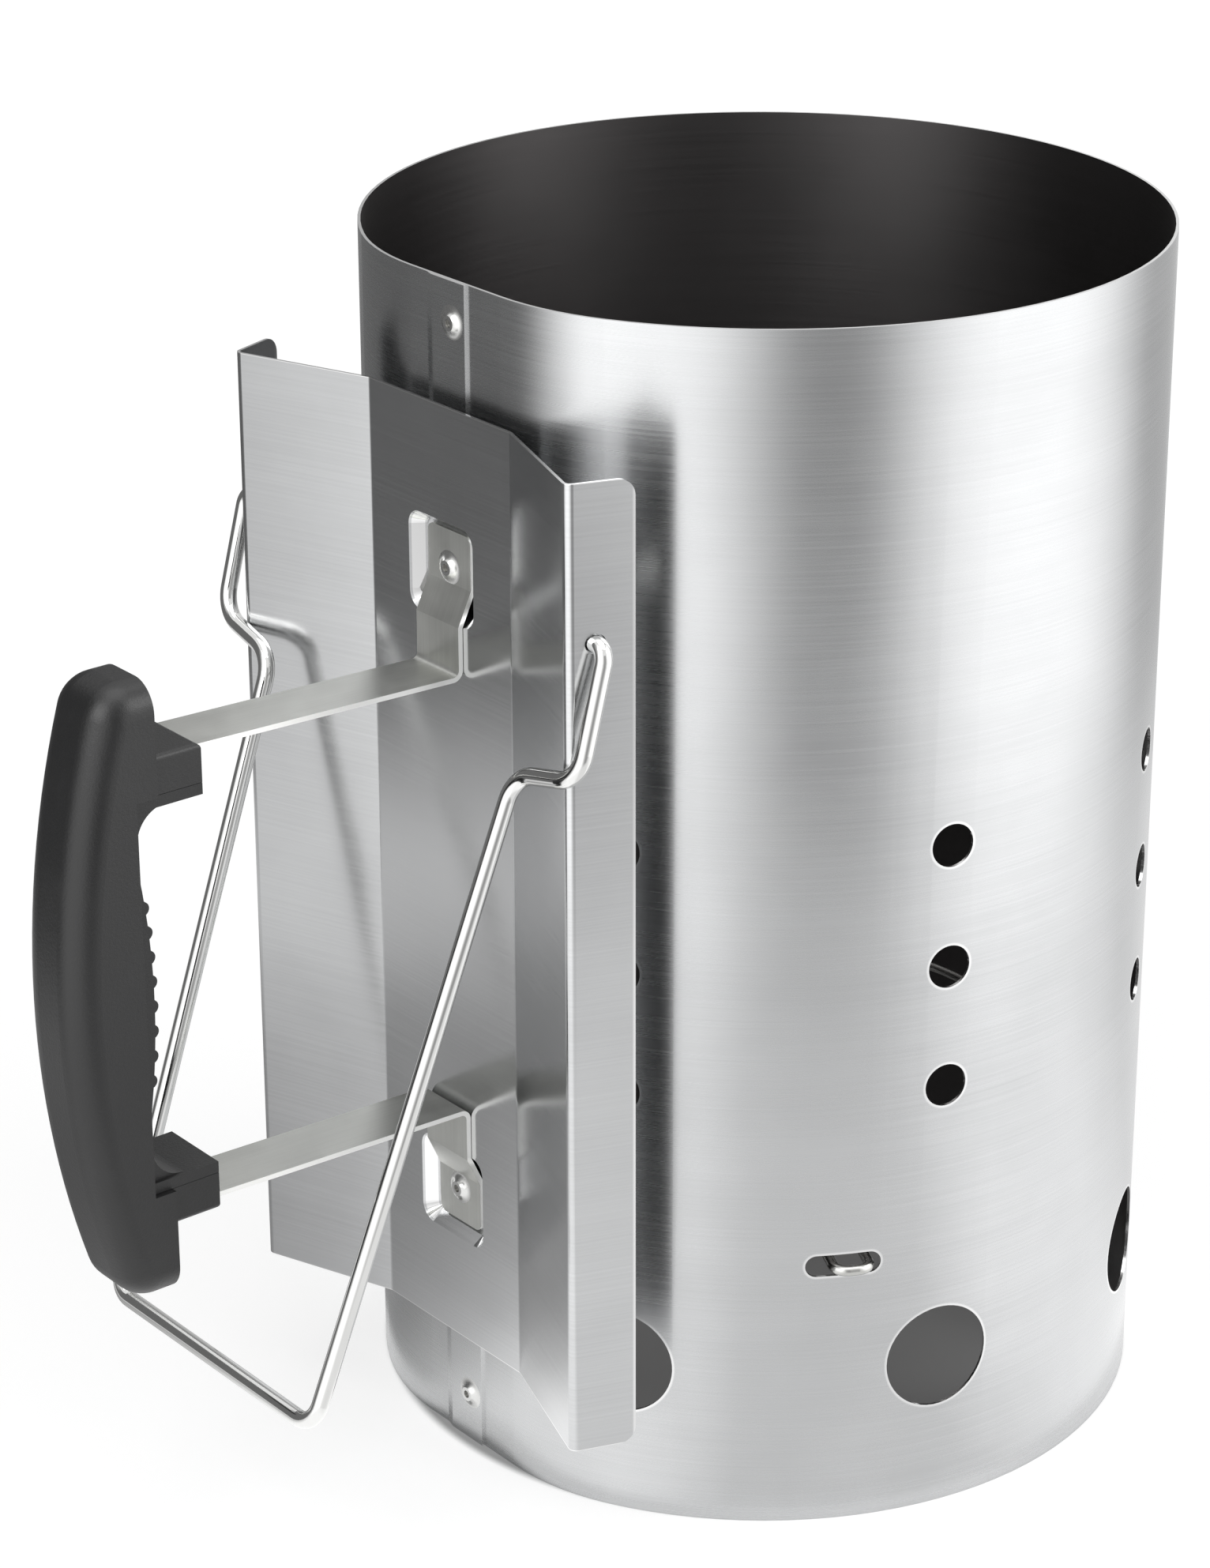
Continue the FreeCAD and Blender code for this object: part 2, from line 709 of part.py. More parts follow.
def grip_back():
    """The outer half of the grip: a crowned bar with two lugs and a channel for the strap."""
    body = new_body("grip_back")
    side = new_sketch(body, "grip_side", "XZ_Plane")
    end = "grip_reach - grip_crown + sqrt(grip_crown ^ 2 - grip_half_length ^ 2)"
    top = "grip_middle + grip_half_length"
    bottom = "grip_middle - grip_half_length"
    add_outline(
        side,
        [
            ("grip_end_face", top),
            ("grip_end_face", "grip_middle + parting"),
            ("grip_side_face", "grip_middle + parting"),
            ("grip_side_face", "grip_middle - parting"),
            ("grip_end_face", "grip_middle - parting"),
            ("grip_end_face", bottom),
            (end, bottom),
            (end, top),
        ],
        arcs={6: "grip_crown"},
    )
    extrude(body, side, "grip_width", both_ways=True)

    def is_end_corner(edge, low, high):
        across = abs(low.x - high.x) < 1e-6 and abs(low.z - high.z) < 1e-6
        return across and near(low.x, end) and (near(low.z, top) or near(low.z, bottom))

    round_edges(body, "grip_end_corners", "grip_end_corner", is_end_corner)
    half = worth("grip_width / 2")
    inner = worth("grip_side_face")

    def is_outer_edge(edge, low, high):
        flat = abs(abs(low.y) - half) < 1e-6 and abs(low.y - high.y) < 1e-6
        outside = max(low.x, high.x) > inner + 0.5
        return flat and outside

    round_edges(body, "grip_edges", "grip_edge", is_outer_edge)

    lugs = new_sketch(body, "grip_lugs", "XZ_Plane")
    for sign in ("+", "-"):
        low, high = sorted((f"grip_middle {sign} parting", f"grip_middle {sign} lug_outer"), key=worth)
        add_rectangle(lugs, "lug_face", low, "grip_side_face + 3", high)
    extrude(body, lugs, "lug_width", both_ways=True)
    outer = [worth(f"grip_middle {sign} lug_outer") for sign in ("+", "-")]
    face = worth("lug_face")
    heel = worth("grip_end_face")

    def is_lug_edge(edge, low, high):
        level = abs(low.z - high.z) < 1e-6 and any(abs(low.z - z) < 1e-6 for z in outer)
        return level and max(low.x, high.x) < heel + 1e-3 and min(low.x, high.x) < face + 1e-3

    round_edges(body, "lug_edges", "lug_corner", is_lug_edge)

    bed = new_sketch(body, "front_bed", "XZ_Plane")
    add_rectangle(
        bed,
        "grip_end_face",
        "grip_middle - parting",
        "front_back",
        "grip_middle + parting",
    )
    pocket(body, bed, "front_width + 2 * half_play", both_ways=True)

    channel = new_sketch(body, "strap_channel", "XZ_Plane")
    mouth = "lug_face - 1"
    floor = "strap_reach + strap_play"
    upper = f"{{}} + strap_thickness + strap_play"
    add_outline(
        channel,
        [
            (mouth, f"{arm_at('lower', mouth)} - strap_play"),
            (floor, f"{arm_at('lower', floor)} - strap_play"),
            (floor, upper.format(arm_at("upper", floor))),
            (mouth, upper.format(arm_at("upper", mouth))),
        ],
    )
    pocket(body, channel, "strap_width + 2 * strap_play", both_ways=True)

    holes = new_sketch(body, "back_screw_holes", "YZ_Plane", offset="strap_reach - 1")
    for height in SCREW_HEIGHTS.values():
        add_circle(holes, "0", height, "screw_radius + screw_play")
    pocket(body, holes, "screw_seat + screw_length + 0.3 - strap_reach + 1", reverse=True)
    return body


def grip_front():
    """The finger side of the grip: a swelled, ribbed plate with two lips that close the lugs."""
    body = new_body("grip_front")
    side = new_sketch(body, "front_side", "XZ_Plane")
    close = "(parting - half_play)"
    lip = "(parting - lip_thickness)"
    swell = "(front_edge - front_reach)"
    radius = f"(swell_half_length ^ 2 + {swell} ^ 2) / (2 * {swell})"
    back = "front_back - half_play"
    add_outline(
        side,
        [
            ("front_edge", "grip_middle - swell_half_length"),
            ("front_edge", f"grip_middle - {lip}"),
            ("lug_face", f"grip_middle - {lip}"),
            ("lug_face", f"grip_middle - {close}"),
            (back, f"grip_middle - {close}"),
            (back, f"grip_middle + {close}"),
            ("lug_face", f"grip_middle + {close}"),
            ("lug_face", f"grip_middle + {lip}"),
            ("front_edge", f"grip_middle + {lip}"),
            ("front_edge", "grip_middle + swell_half_length"),
        ],
        arcs={9: radius},
    )
    extrude(body, side, "front_width", both_ways=True)

    def is_blend(edge, low, high):
        across = abs(low.x - high.x) < 1e-6 and abs(low.z - high.z) < 1e-6
        inner = [worth(f"grip_middle {sign} {lip}") for sign in ("+", "-")]
        return across and near(low.x, "front_edge") and any(abs(low.z - z) < 1e-3 for z in inner)

    round_edges(body, "front_blends", "front_blend", is_blend)

    lips = new_sketch(body, "front_lips", "XZ_Plane")
    for sign in ("+", "-"):
        low, high = sorted((f"grip_middle {sign} {close}", f"grip_middle {sign} {lip}"), key=worth)
        add_rectangle(lips, "lug_face", low, "grip_side_face - 0.2", high)
    extrude(body, lips, "lug_width", both_ways=True)

    tongue = new_sketch(body, "front_tongue", "XZ_Plane")
    inside = "strap_reach - strap_thickness - strap_play"
    above = "{} - strap_play"
    below = "{} + strap_thickness + strap_play"
    add_outline(
        tongue,
        [
            ("lug_face", below.format(arm_at("lower", "lug_face"))),
            (inside, below.format(arm_at("lower", inside))),
            (inside, above.format(arm_at("upper", inside))),
            ("lug_face", above.format(arm_at("upper", "lug_face"))),
            ("lug_face", f"grip_middle + {lip} + 0.5"),
            ("front_edge + 1", f"grip_middle + {lip} + 0.5"),
            ("front_edge + 1", f"grip_middle - {lip} - 0.5"),
            ("lug_face", f"grip_middle - {lip} - 0.5"),
        ],
    )
    extrude(body, tongue, "strap_width", both_ways=True)

    def is_tongue_corner(edge, low, high):
        across = abs(low.x - high.x) < 1e-6 and abs(low.z - high.z) < 1e-6
        return across and near(low.x, inside)

    round_edges(body, "tongue_corners", "strap_bend", is_tongue_corner)

    ribs = new_sketch(body, "front_rib_row", "XZ_Plane")
    for number in range(int(worth("rib_count"))):
        along = f"({number} - (rib_count - 1) / 2) * rib_pitch"
        centre = f"front_reach + ({radius}) - sqrt(({radius}) ^ 2 - ({along}) ^ 2)"
        add_circle(ribs, centre, f"grip_middle + {along}", "rib_radius")
    extrude(body, ribs, "rib_width", both_ways=True)

    for name, hole, depth in (
        ("front_screw_holes", "screw_radius + 0.2", "strap_reach"),
        ("front_screw_recesses", "screw_head_radius + 0.3", "screw_seat"),
    ):
        holes = new_sketch(body, name, "YZ_Plane", offset="lug_face")
        for height in SCREW_HEIGHTS.values():
            add_circle(holes, "0", height, hole)
        pocket(body, holes, f"{depth} - lug_face", reverse=True)
    return body


# Turned pieces, each drawn about its own X axis


def place(body, across, height):
    """Puts a piece's own origin at a distance from the axis and a height."""
    body.Placement = Placement(Vector(worth(across), 0, worth(height)), Rotation())
    bind(body, "Placement.Base.x", across)
    bind(body, "Placement.Base.z", height)


def turned(name, corners, arcs=None):
    """A body turned about its own X axis from pairs of distance and radius."""
    body = new_body(name)
    half = new_sketch(body, f"{name}_half", "XY_Plane")
    add_outline(half, corners, arcs)
    feature = body.newObject("PartDesign::Revolution", f"{name}_turned")
    feature.Profile = half
    feature.ReferenceAxis = (origin_part(body, "X_Axis"), [""])
    feature.Angle = 360
    half.Visibility = False
    DOC.recompute()
    return body


def blind_rivet(name, height, seat):
    """A blind rivet and the mandrel stub left in it."""
    stack = f"({seat} - flat_reach + shell_sheet)"
    end = f"({stack} + rivet_bulb_length)"
    bore = "mandrel_radius + mandrel_play"
    crown = "rivet_head_radius * 0.45"
    rivet = turned(
        name,
        [
            (f"-{end}", bore),
            ("rivet_head_height", bore),
            ("rivet_head_height", crown),
            ("0", "rivet_head_radius"),
            ("0", "rivet_shank_radius"),
            (f"-{stack} - 0.02", "rivet_shank_radius"),
            (f"-{stack} - 0.02", "rivet_bulb_radius"),
            (f"-{end} + rivet_bulb_length / 3", "rivet_bulb_radius"),
            (f"-{end}", "rivet_bulb_radius * 0.7"),
        ],
        arcs={2: "-rivet_head_radius * 0.8"},
    )
    place(rivet, seat, height)
    tail = f"({end} + mandrel_play)"
    mandrel = turned(
        f"{name}_mandrel",
        [
            (f"-{tail} - mandrel_head_length", "0"),
            ("rivet_head_height - mandrel_recess", "0"),
            ("rivet_head_height - mandrel_recess", "mandrel_radius"),
            (f"-{tail}", "mandrel_radius"),
            (f"-{tail}", "mandrel_head_radius"),
            (f"-{tail} - mandrel_head_length", "mandrel_head_radius"),
        ],
    )
    place(mandrel, seat, height)
    return [rivet, mandrel]


def grip_screw(name, height):
    """A pan-head screw with a crossed recess."""
    screw = turned(
        name,
        [
            ("-screw_head_height", "0"),
            ("screw_length", "0"),
            ("screw_length - 1", "screw_radius"),
            ("0", "screw_radius"),
            ("0", "screw_head_radius"),
            ("-screw_head_height / 2", "screw_head_radius"),
            ("-screw_head_height", "screw_head_radius * 0.7"),
        ],
    )
    cross = new_sketch(screw, f"{name}_cross", "YZ_Plane", offset="-screw_head_height")
    wide = "screw_slot_width / 2"
    long = "screw_head_radius * 0.6"
    turn = [(long, wide), (wide, wide), (wide, long), (f"-{wide}", long), (f"-{wide}", wide)]
    turn += [(f"-{long}", wide), (f"-{long}", f"-{wide}"), (f"-{wide}", f"-{wide}")]
    turn += [(f"-{wide}", f"-{long}"), (wide, f"-{long}"), (wide, f"-{wide}"), (long, f"-{wide}")]
    add_outline(cross, [(across.replace("--", ""), up.replace("--", "")) for across, up in turn])
    pocket(screw, cross, "screw_slot_depth", reverse=True)
    place(screw, "screw_seat", height)
    return screw


# Bent wires


def rounded_path(points, radii):
    """A wire through points, with an arc of the given radius at each inner point."""
    edges = []
    start = points[0]
    for before, corner, after, radius in zip(points, points[1:], points[2:], radii):
        back = (before - corner).normalize()
        ahead = (after - corner).normalize()
        half = back.getAngle(ahead) / 2
        reach = radius / math.tan(half)
        middle = (back + ahead).normalize()
        depth = radius / math.sin(half) - radius
        first = corner + back * reach
        last = corner + ahead * reach
        edges.append(Part.makeLine(start, first))
        edges.append(Part.Arc(first, corner + middle * depth, last).toShape())
        start = last
    edges.append(Part.makeLine(start, points[-1]))
    return Part.Wire(edges)


def bent_wire(name, points, radii, radius):
    """Round wire swept along a rounded path."""
    path = rounded_path(points, radii)
    ring = Part.makeCircle(radius, points[0], points[1] - points[0])
    feature = DOC.addObject("Part::Feature", name)
    feature.Label = name
    feature.Shape = path.makePipeShell([Part.Wire([ring])], True, False)
    return feature


def bail_wire():
    """The pouring bail, leaning on the outer bends of the shield."""
    pivot = Vector(size("pivot_reach"), 0, size("pivot_height"))
    wide = size("bail_leg_half_width")
    narrow = size("bail_inner_half_width")
    top = size("bail_jog_top")
    bottom = size("bail_jog_bottom")
    crest, crest_side = wing_crest()
    stop = crest + size("bail_wire_radius") + size("bail_stop_gap")
    drop = top + (bottom - top) * (wide - crest_side) / (wide - narrow)
    lean = math.asin((stop - pivot.x) / drop)
    down = Vector(math.sin(lean), 0, -math.cos(lean))
    low = Vector(size("bail_bottom_reach"), 0, size("bail_bottom_height"))
    across = Vector(0, 1, 0)
    half = [
        pivot + across * size("bail_end"),
        pivot + across * wide,
        pivot + down * top + across * wide,
        pivot + down * bottom + across * narrow,
        low + across * size("bail_bottom_half_width"),
    ]
    other = [Vector(point.x, -point.y, point.z) for point in reversed(half)]
    jog = size("bail_jog_bend")
    bends = [size("bail_eye_bend"), jog, jog, size("bail_corner_bend")]
    return bent_wire("bail_wire", half + other, bends + bends[::-1], size("bail_wire_radius"))


def wing_crest():
    """Distance from the axis and half width of the line where the shield's outer bend is furthest out."""
    lean = math.atan2(
        size("wing_reach") - size("panel_reach"), size("wing_half_width") - size("panel_half_width")
    )
    back = math.atan2(
        size("wing_reach") - size("flange_reach"), size("flange_half_width") - size("wing_half_width")
    )
    bend = size("shield_bend")
    centre = bend / math.cos((lean + back) / 2)
    turn = (back - lean) / 2
    reach = size("wing_reach") - centre * math.cos(turn) + bend
    return reach, size("wing_half_width") - centre * math.sin(turn)


def grate_spoke(number):
    """A hairpin whose closed end stands out of a slot and whose legs climb to the middle."""
    radius = size("grate_wire_radius")
    level = size("wire_level")
    out = size("shell_radius") + size("loop_stand_out") - radius
    side = size("loop_spacing") / 2
    knee = size("spoke_knee")
    start = size("spoke_start")
    half = [
        Vector(start, side, level + size("spoke_rise")),
        Vector(knee, side, level),
        Vector(out, side, level),
    ]
    other = [Vector(point.x, -point.y, point.z) for point in reversed(half)]
    bends = [size("spoke_knee_bend"), size("loop_bend")]
    spoke = bent_wire(f"grate_spoke_{number + 1}", half + other, bends + bends[::-1], radius)
    spoke.Placement = Placement(Vector(0, 0, 0), Rotation(Vector(0, 0, 1), spoke_turn(number)))
    return spoke


def spoke_turn(number):
    """The direction of a hairpin in degrees: its loop stands near one end of its slot."""
    shift = (size("slot_length") - size("slot_width") - size("loop_spacing")) / 2 + size("loop_shift")
    first = size("slot_first_deg") + math.degrees(shift / size("shell_radius"))
    return first + number * 360 / size("slot_count")


def grate_ring(name):
    """A ring of wire welded on top of the hairpins."""
    ring = DOC.addObject("Part::Torus", f"grate_{name}")
    ring.Label = f"grate_{name}"
    bind(ring, "Radius1", f"{name}_radius")
    bind(ring, "Radius2", "grate_wire_radius")
    fall = "spoke_rise / (spoke_knee - spoke_start)"
    reach = f"sqrt({name}_radius ^ 2 - (loop_spacing / 2) ^ 2)"
    climb = f"(spoke_knee - {reach}) * {fall}"
    lift = f"(2 * grate_wire_radius + weld_gap) * sqrt(1 + ({fall}) ^ 2)"
    bind(ring, "Placement.Base.z", f"wire_level + {climb} + {lift}")
    return ring


def make_all():
    """Every piece of the starter, in the order of assembly."""
    pieces = [chimney_shell(), heat_shield(), handle_strap(), grip_back(), grip_front()]
    pieces += [grip_screw(name, height) for name, height in SCREW_HEIGHTS.items()]
    for name, height in RIVET_HEIGHTS.items():
        seat = "foot_face" if name.startswith("foot") else "lap_face"
        pieces += blind_rivet(name, height, seat)
    pieces.append(bail_wire())
    pieces += [grate_spoke(number) for number in range(int(size("slot_count")))]
    pieces += [grate_ring(name) for name in ("ring_outer", "ring_middle", "ring_inner")]
    DOC.recompute()
    return pieces


def write(pieces):
    """Checks every piece and writes it as parts/LABEL.step."""
    for thing in DOC.Objects:
        if "Invalid" in thing.State or "Error" in thing.State:
            raise RuntimeError(f"{thing.Name} failed: {thing.State}")
    for piece in pieces:
        if piece.Shape.isNull() or not piece.Shape.isValid() or len(piece.Shape.Solids) != 1:
            raise RuntimeError(f"{piece.Label} has no valid single solid")
    os.makedirs("parts", exist_ok=True)
    for piece in pieces:
        piece.Shape.exportStep(f"parts/{piece.Label}.step")


write(make_all())
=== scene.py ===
"""Chimney charcoal starter: the finish of every piece, the weld points of the grate and the studio."""
import math

import bpy
import numpy as np
from mathutils import Matrix, Vector


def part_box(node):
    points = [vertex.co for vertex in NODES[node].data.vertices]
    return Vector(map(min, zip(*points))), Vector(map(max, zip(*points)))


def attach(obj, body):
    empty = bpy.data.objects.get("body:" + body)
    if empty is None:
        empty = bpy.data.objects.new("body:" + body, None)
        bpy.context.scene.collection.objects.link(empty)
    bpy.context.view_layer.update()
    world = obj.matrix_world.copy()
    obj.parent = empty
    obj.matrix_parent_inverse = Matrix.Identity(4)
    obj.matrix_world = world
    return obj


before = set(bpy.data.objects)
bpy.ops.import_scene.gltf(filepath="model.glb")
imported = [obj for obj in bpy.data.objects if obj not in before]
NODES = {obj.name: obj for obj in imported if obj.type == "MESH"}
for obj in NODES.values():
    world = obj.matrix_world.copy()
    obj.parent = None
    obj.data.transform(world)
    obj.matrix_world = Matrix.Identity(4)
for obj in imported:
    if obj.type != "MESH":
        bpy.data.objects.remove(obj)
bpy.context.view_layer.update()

bl_info = {
    "name": "Chimney charcoal starter",
    "version": (1, 0, 0),
    "blender": (4, 5, 0),
    "location": "3D View > Sidebar > Starter",
    "description": "Sheet steel, bright wire and moulded grip for a chimney charcoal starter",
    "category": "Object",
}


# Settings that a user would change


class SheetSettings(bpy.types.PropertyGroup):
    """Finish of the rolled cylinder and of the folded shield."""

    colour: bpy.props.FloatVectorProperty(
        name="Sheet colour",
        description="Reflection colour of the aluminised sheet",
        subtype="COLOR",
        size=3,
        min=0.0,
        max=1.0,
        default=(0.525, 0.53, 0.535),
    )
    # Dark colour of the cylinder's inner face: painted shade, as the inner face is the same aluminised
    # sheet as the outer one.
    inside_shade_colour: bpy.props.FloatVectorProperty(
        name="Inside colour",
        description="Reflection colour of the cylinder's inner face",
        subtype="COLOR",
        size=3,
        min=0.0,
        max=1.0,
        default=(0.10, 0.095, 0.095),
    )
    # Lighter colour of cut edges: partly the sheared steel's own finish, partly painted highlight. It also
    # carries the painted highlight lines round the holes, on the flange edges and on the seat walls.
    edge_and_highlight_colour: bpy.props.FloatVectorProperty(
        name="Cut edge colour",
        description="Reflection colour of rims, hole walls and sheared edges",
        subtype="COLOR",
        size=3,
        min=0.0,
        max=1.0,
        default=(0.80, 0.80, 0.80),
    )
    roughness: bpy.props.FloatProperty(
        name="Roughness",
        description="Mean roughness of the satin face",
        subtype="FACTOR",
        min=0.0,
        max=1.0,
        default=0.27,
    )
    grain: bpy.props.FloatProperty(
        name="Grain spacing",
        description="Distance between the rolling lines across the grain",
        subtype="DISTANCE",
        unit="LENGTH",
        min=0.0001,
        max=0.01,
        default=0.0006,
    )


class HandleSettings(bpy.types.PropertyGroup):
    """Finish of the strap and of the two halves of the grip."""

    strap_colour: bpy.props.FloatVectorProperty(
        name="Strap colour",
        description="Reflection colour of the plated flat bar",
        subtype="COLOR",
        size=3,
        min=0.0,
        max=1.0,
        default=(0.58, 0.585, 0.56),
    )
    grip_colour: bpy.props.FloatVectorProperty(
        name="Grip colour",
        description="Colour of the moulded grip",
        subtype="COLOR",
        size=3,
        min=0.0,
        max=1.0,
        default=(0.007, 0.007, 0.0073),
    )
    moulded_grain: bpy.props.FloatProperty(
        name="Moulded grain",
        description="Size of the grain of the mould",
        subtype="DISTANCE",
        unit="LENGTH",
        min=0.0001,
        max=0.005,
        default=0.0007,
    )


class WireSettings(bpy.types.PropertyGroup):
    """Finish of the bail, the grate and the fasteners."""

    bail_colour: bpy.props.FloatVectorProperty(
        name="Bail colour",
        description="Reflection colour of the bright bail wire",
        subtype="COLOR",
        size=3,
        min=0.0,
        max=1.0,
        default=(0.78, 0.78, 0.77),
    )
    rivet_colour: bpy.props.FloatVectorProperty(
        name="Rivet colour",
        description="Reflection colour of the rivet heads",
        subtype="COLOR",
        size=3,
        min=0.0,
        max=1.0,
        default=(0.66, 0.66, 0.65),
    )
    weld_radius: bpy.props.FloatProperty(
        name="Weld radius",
        description="Radius of a weld point of the grate",
        subtype="DISTANCE",
        unit="LENGTH",
        min=0.0005,
        max=0.005,
        default=0.0013,
    )


class StudioSettings(bpy.types.PropertyGroup):
    """Lens of the camera and power of the lamps."""

    lens: bpy.props.FloatProperty(
        name="Lens",
        description="Focal length on a frame 36 mm wide",
        subtype="DISTANCE_CAMERA",
        unit="CAMERA",
        min=10.0,
        max=500.0,
        default=127.9,
    )
    key_power: bpy.props.FloatProperty(
        name="Key lamp power",
        description="Power of the large soft lamp on the vented side",
        subtype="POWER",
        unit="POWER",
        min=0.0,
        max=500.0,
        default=7.4,
    )
    fill_power: bpy.props.FloatProperty(
        name="Fill lamp power",
        description="Power of the soft lamp on the handle side",
        subtype="POWER",
        unit="POWER",
        min=0.0,
        max=500.0,
        default=6.2,
    )
    top_power: bpy.props.FloatProperty(
        name="Top lamp power",
        description="Power of the large soft lamp overhead",
        subtype="POWER",
        unit="POWER",
        min=0.0,
        max=500.0,
        default=7.0,
    )


# Shader arithmetic


class Reading:
    """A value in a node tree; arithmetic on it adds Math nodes."""

    def __init__(self, net, socket):
        self.net = net
        self.socket = socket

    def __add__(self, other):
        return self.net.math("ADD", self, other)

    __radd__ = __add__

    def __sub__(self, other):
        return self.net.math("SUBTRACT", self, other)

    def __rsub__(self, other):
        return self.net.math("SUBTRACT", other, self)

    def __mul__(self, other):
        return self.net.math("MULTIPLY", self, other)

    __rmul__ = __mul__

    def __truediv__(self, other):
        return self.net.math("DIVIDE", self, other)

    def __pow__(self, other):
        return self.net.math("POWER", self, other)

    def __neg__(self):
        return self.net.math("MULTIPLY", self, -1.0)

    def above(self, level):
        return self.net.math("GREATER_THAN", self, level)

    def size(self):
        return self.net.math("ABSOLUTE", self)

    def larger(self, other):
        return self.net.math("MAXIMUM", self, other)

    def smaller(self, other):
        return self.net.math("MINIMUM", self, other)

    def rising(self, low, high, bottom=0.0, top=1.0, step="SMOOTHSTEP"):
        """From bottom, where the value is low or less, to top, where it is high or more."""
        settings = {"interpolation_type": step}
        values = {"Value": self, "From Min": low, "From Max": high, "To Min": bottom, "To Max": top}
        return self.net.node("ShaderNodeMapRange", settings, values, "Result")


class Finish:
    """A material whose nodes are added one call at a time."""

    def __init__(self, name):
        self.material = bpy.data.materials.new(name)
        self.material.use_nodes = True
        self.tree = self.material.node_tree
        self.tree.nodes.clear()
        self.output = self.tree.nodes.new("ShaderNodeOutputMaterial")

    def node(self, kind, settings=None, values=None, output=0):
        """Adds a node, applies its settings, then its values or links, and returns one output."""
        node = self.tree.nodes.new(kind)
        for name, value in (settings or {}).items():
            setattr(node, name, value)
        for key, value in (values or {}).items():
            self.feed(node.inputs[key], value)
        return Reading(self, node.outputs[output])

    def feed(self, socket, value):
        """Links a reading to a socket, or writes a plain value on it."""
        if isinstance(value, Reading):
            self.tree.links.new(value.socket, socket)
        else:
            socket.default_value = value

    def math(self, operation, *values):
        return self.node("ShaderNodeMath", {"operation": operation}, dict(enumerate(values)))

    def mix(self, share, first, second):
        """A colour between two colours."""
        settings = {"data_type": "RGBA", "clamp_factor": True}
        values = {0: share, 6: colour4(first), 7: colour4(second)}
        return self.node("ShaderNodeMix", settings, values, 2)

    def parts(self, vector):
        """The three parts of a vector as readings."""
        node = self.tree.nodes.new("ShaderNodeSeparateXYZ")
        self.feed(node.inputs[0], vector)
        return [Reading(self, output) for output in node.outputs]

    def place(self):
        """Object coordinates in metres."""
        return self.node("ShaderNodeTexCoord", output="Object")

    def facing(self):
        """The face's own direction."""
        return self.node("ShaderNodeNewGeometry", output="True Normal")

    def join(self, x, y, z):
        return self.node("ShaderNodeCombineXYZ", None, {0: x, 1: y, 2: z})

    def noise(self, vector, scale, detail, roughness):
        values = {"Vector": vector, "Scale": scale, "Detail": detail, "Roughness": roughness}
        return self.node("ShaderNodeTexNoise", None, values, "Fac")

    def bump(self, height, strength, distance):
        values = {"Strength": strength, "Distance": distance, "Height": height}
        return self.node("ShaderNodeBump", None, values, "Normal")

    def surface(self, shader):
        """Makes a shader the surface of the material, and returns the material."""
        self.feed(self.output.inputs["Surface"], shader)
        return self.material

    def set(self, **values):
        """Gives the surface a Principled shader with these inputs; an underscore stands for a space."""
        inputs = {name.replace("_", " "): value for name, value in values.items()}
        inputs["Base Color"] = colour4(inputs["Base Color"])
        return self.surface(self.node("ShaderNodeBsdfPrincipled", None, inputs))


def colour4(value):
    """A colour with its alpha; a reading stays as it is."""
    if isinstance(value, Reading):
        return value
    return (*value[:3], 1.0)


def dress(material, *names):
    """Puts a material on CAD nodes by name."""
    for name in names:
        for slot in NODES[name].material_slots:
            slot.material = material


def settings(context):
    """The settings of the sheet, the handle and the wires."""
    return context.scene.starter_sheet, context.scene.starter_handle, context.scene.starter_wire


# Finishes

# Punched holes of the cylinder, in metres and degrees
RADIUS = 0.09525
VENT_COUNT, VENT_FIRST, VENT_PITCH = 7, 29.5, 46.8
BIG_VENT_RADIUS, BIG_VENT_HEIGHT = 0.0132, 0.040
SMALL_VENT_RADIUS, SMALL_VENT_HEIGHT, SMALL_VENT_PITCH = 0.00525, 0.1117, 0.03015
SMALL_VENT_REACH = 1.4  # from the middle vent of a column to its end, in pitches
SLOT_COUNT, SLOT_FIRST, SLOT_LENGTH, SLOT_WIDTH, SLOT_HEIGHT = 4, 61.6, 0.0181, 0.0055, 0.0687

# Sheet: how far its tone goes either way, and what a cut edge and the inside do to its roughness
TONE_SPREAD = 0.20
EDGE_POLISH, INSIDE_DULLING = 0.08, 0.14
GRAIN_RADIUS = 0.095  # the rolling lines of the cylinder are laid out on it
WALL_LIMIT = 0.35  # a cut wall faces neither out nor in by more than this
RIM_HIGHLIGHT_WIDTH, RIM_HIGHLIGHT_BRIGHTNESS = (0.0003, 0.0008), 0.8  # painted highlight: a bright line round each hole

# Bright parts of the folded shield, in metres: its sheared ends, lighter partly as their own finish and
# partly as painted highlight, and painted highlights on the free edges of its flanges and on the walls of
# its pressed seats. Depths are counted outwards from its innermost face, and the walls of the pressed seats
# lie between two distances from its middle line.
SHEARED_END = 0.0002
FLANGE_DEPTH, FLANGE_FADE = 0.0020, (0.0004, 0.0009)
FREE_EDGE_HIGHLIGHT_WIDTH, FREE_EDGE_HIGHLIGHT = 0.004, 0.9
SEAT_WALL_DEPTHS = (0.0012, 0.0038)
SEAT_WALL_SIDES = (0.0085, 0.0135)
# Share of painted shade on the shield's back: it is mixed this far toward the dark inside colour, and made
# this much rougher.
BACK_SHADE_AND_DULLING = 0.1

# Colours that no setting holds
# Sheared sides of the strap: lighter partly as their own finish and partly as painted highlight.
SHEARED_SIDE_AND_HIGHLIGHT = (0.9, 0.9, 0.88)
SCREW_COLOUR = (0.55, 0.55, 0.53)
MANDREL_COLOUR = (0.24, 0.235, 0.22)
GRATE_COLOUR = (0.58, 0.58, 0.56)
BEAD_COLOUR = (0.40, 0.39, 0.38)

FULL_TURN = 360.0
RADIAN = 180.0 / math.pi  # in degrees


def rolled_lines(finish, across, up, grain):
    """Fine lines along the rolling direction, and soft broad ones: noise drawn out along one coordinate."""
    fine = finish.noise(finish.join(across * 12.0, up / grain, 0.0), scale=1.0, detail=3.0, roughness=0.6)
    soft = finish.noise(finish.join(across * 3.0, up * 60.0, 2.0), scale=1.0, detail=2.0, roughness=0.5)
    return fine, soft


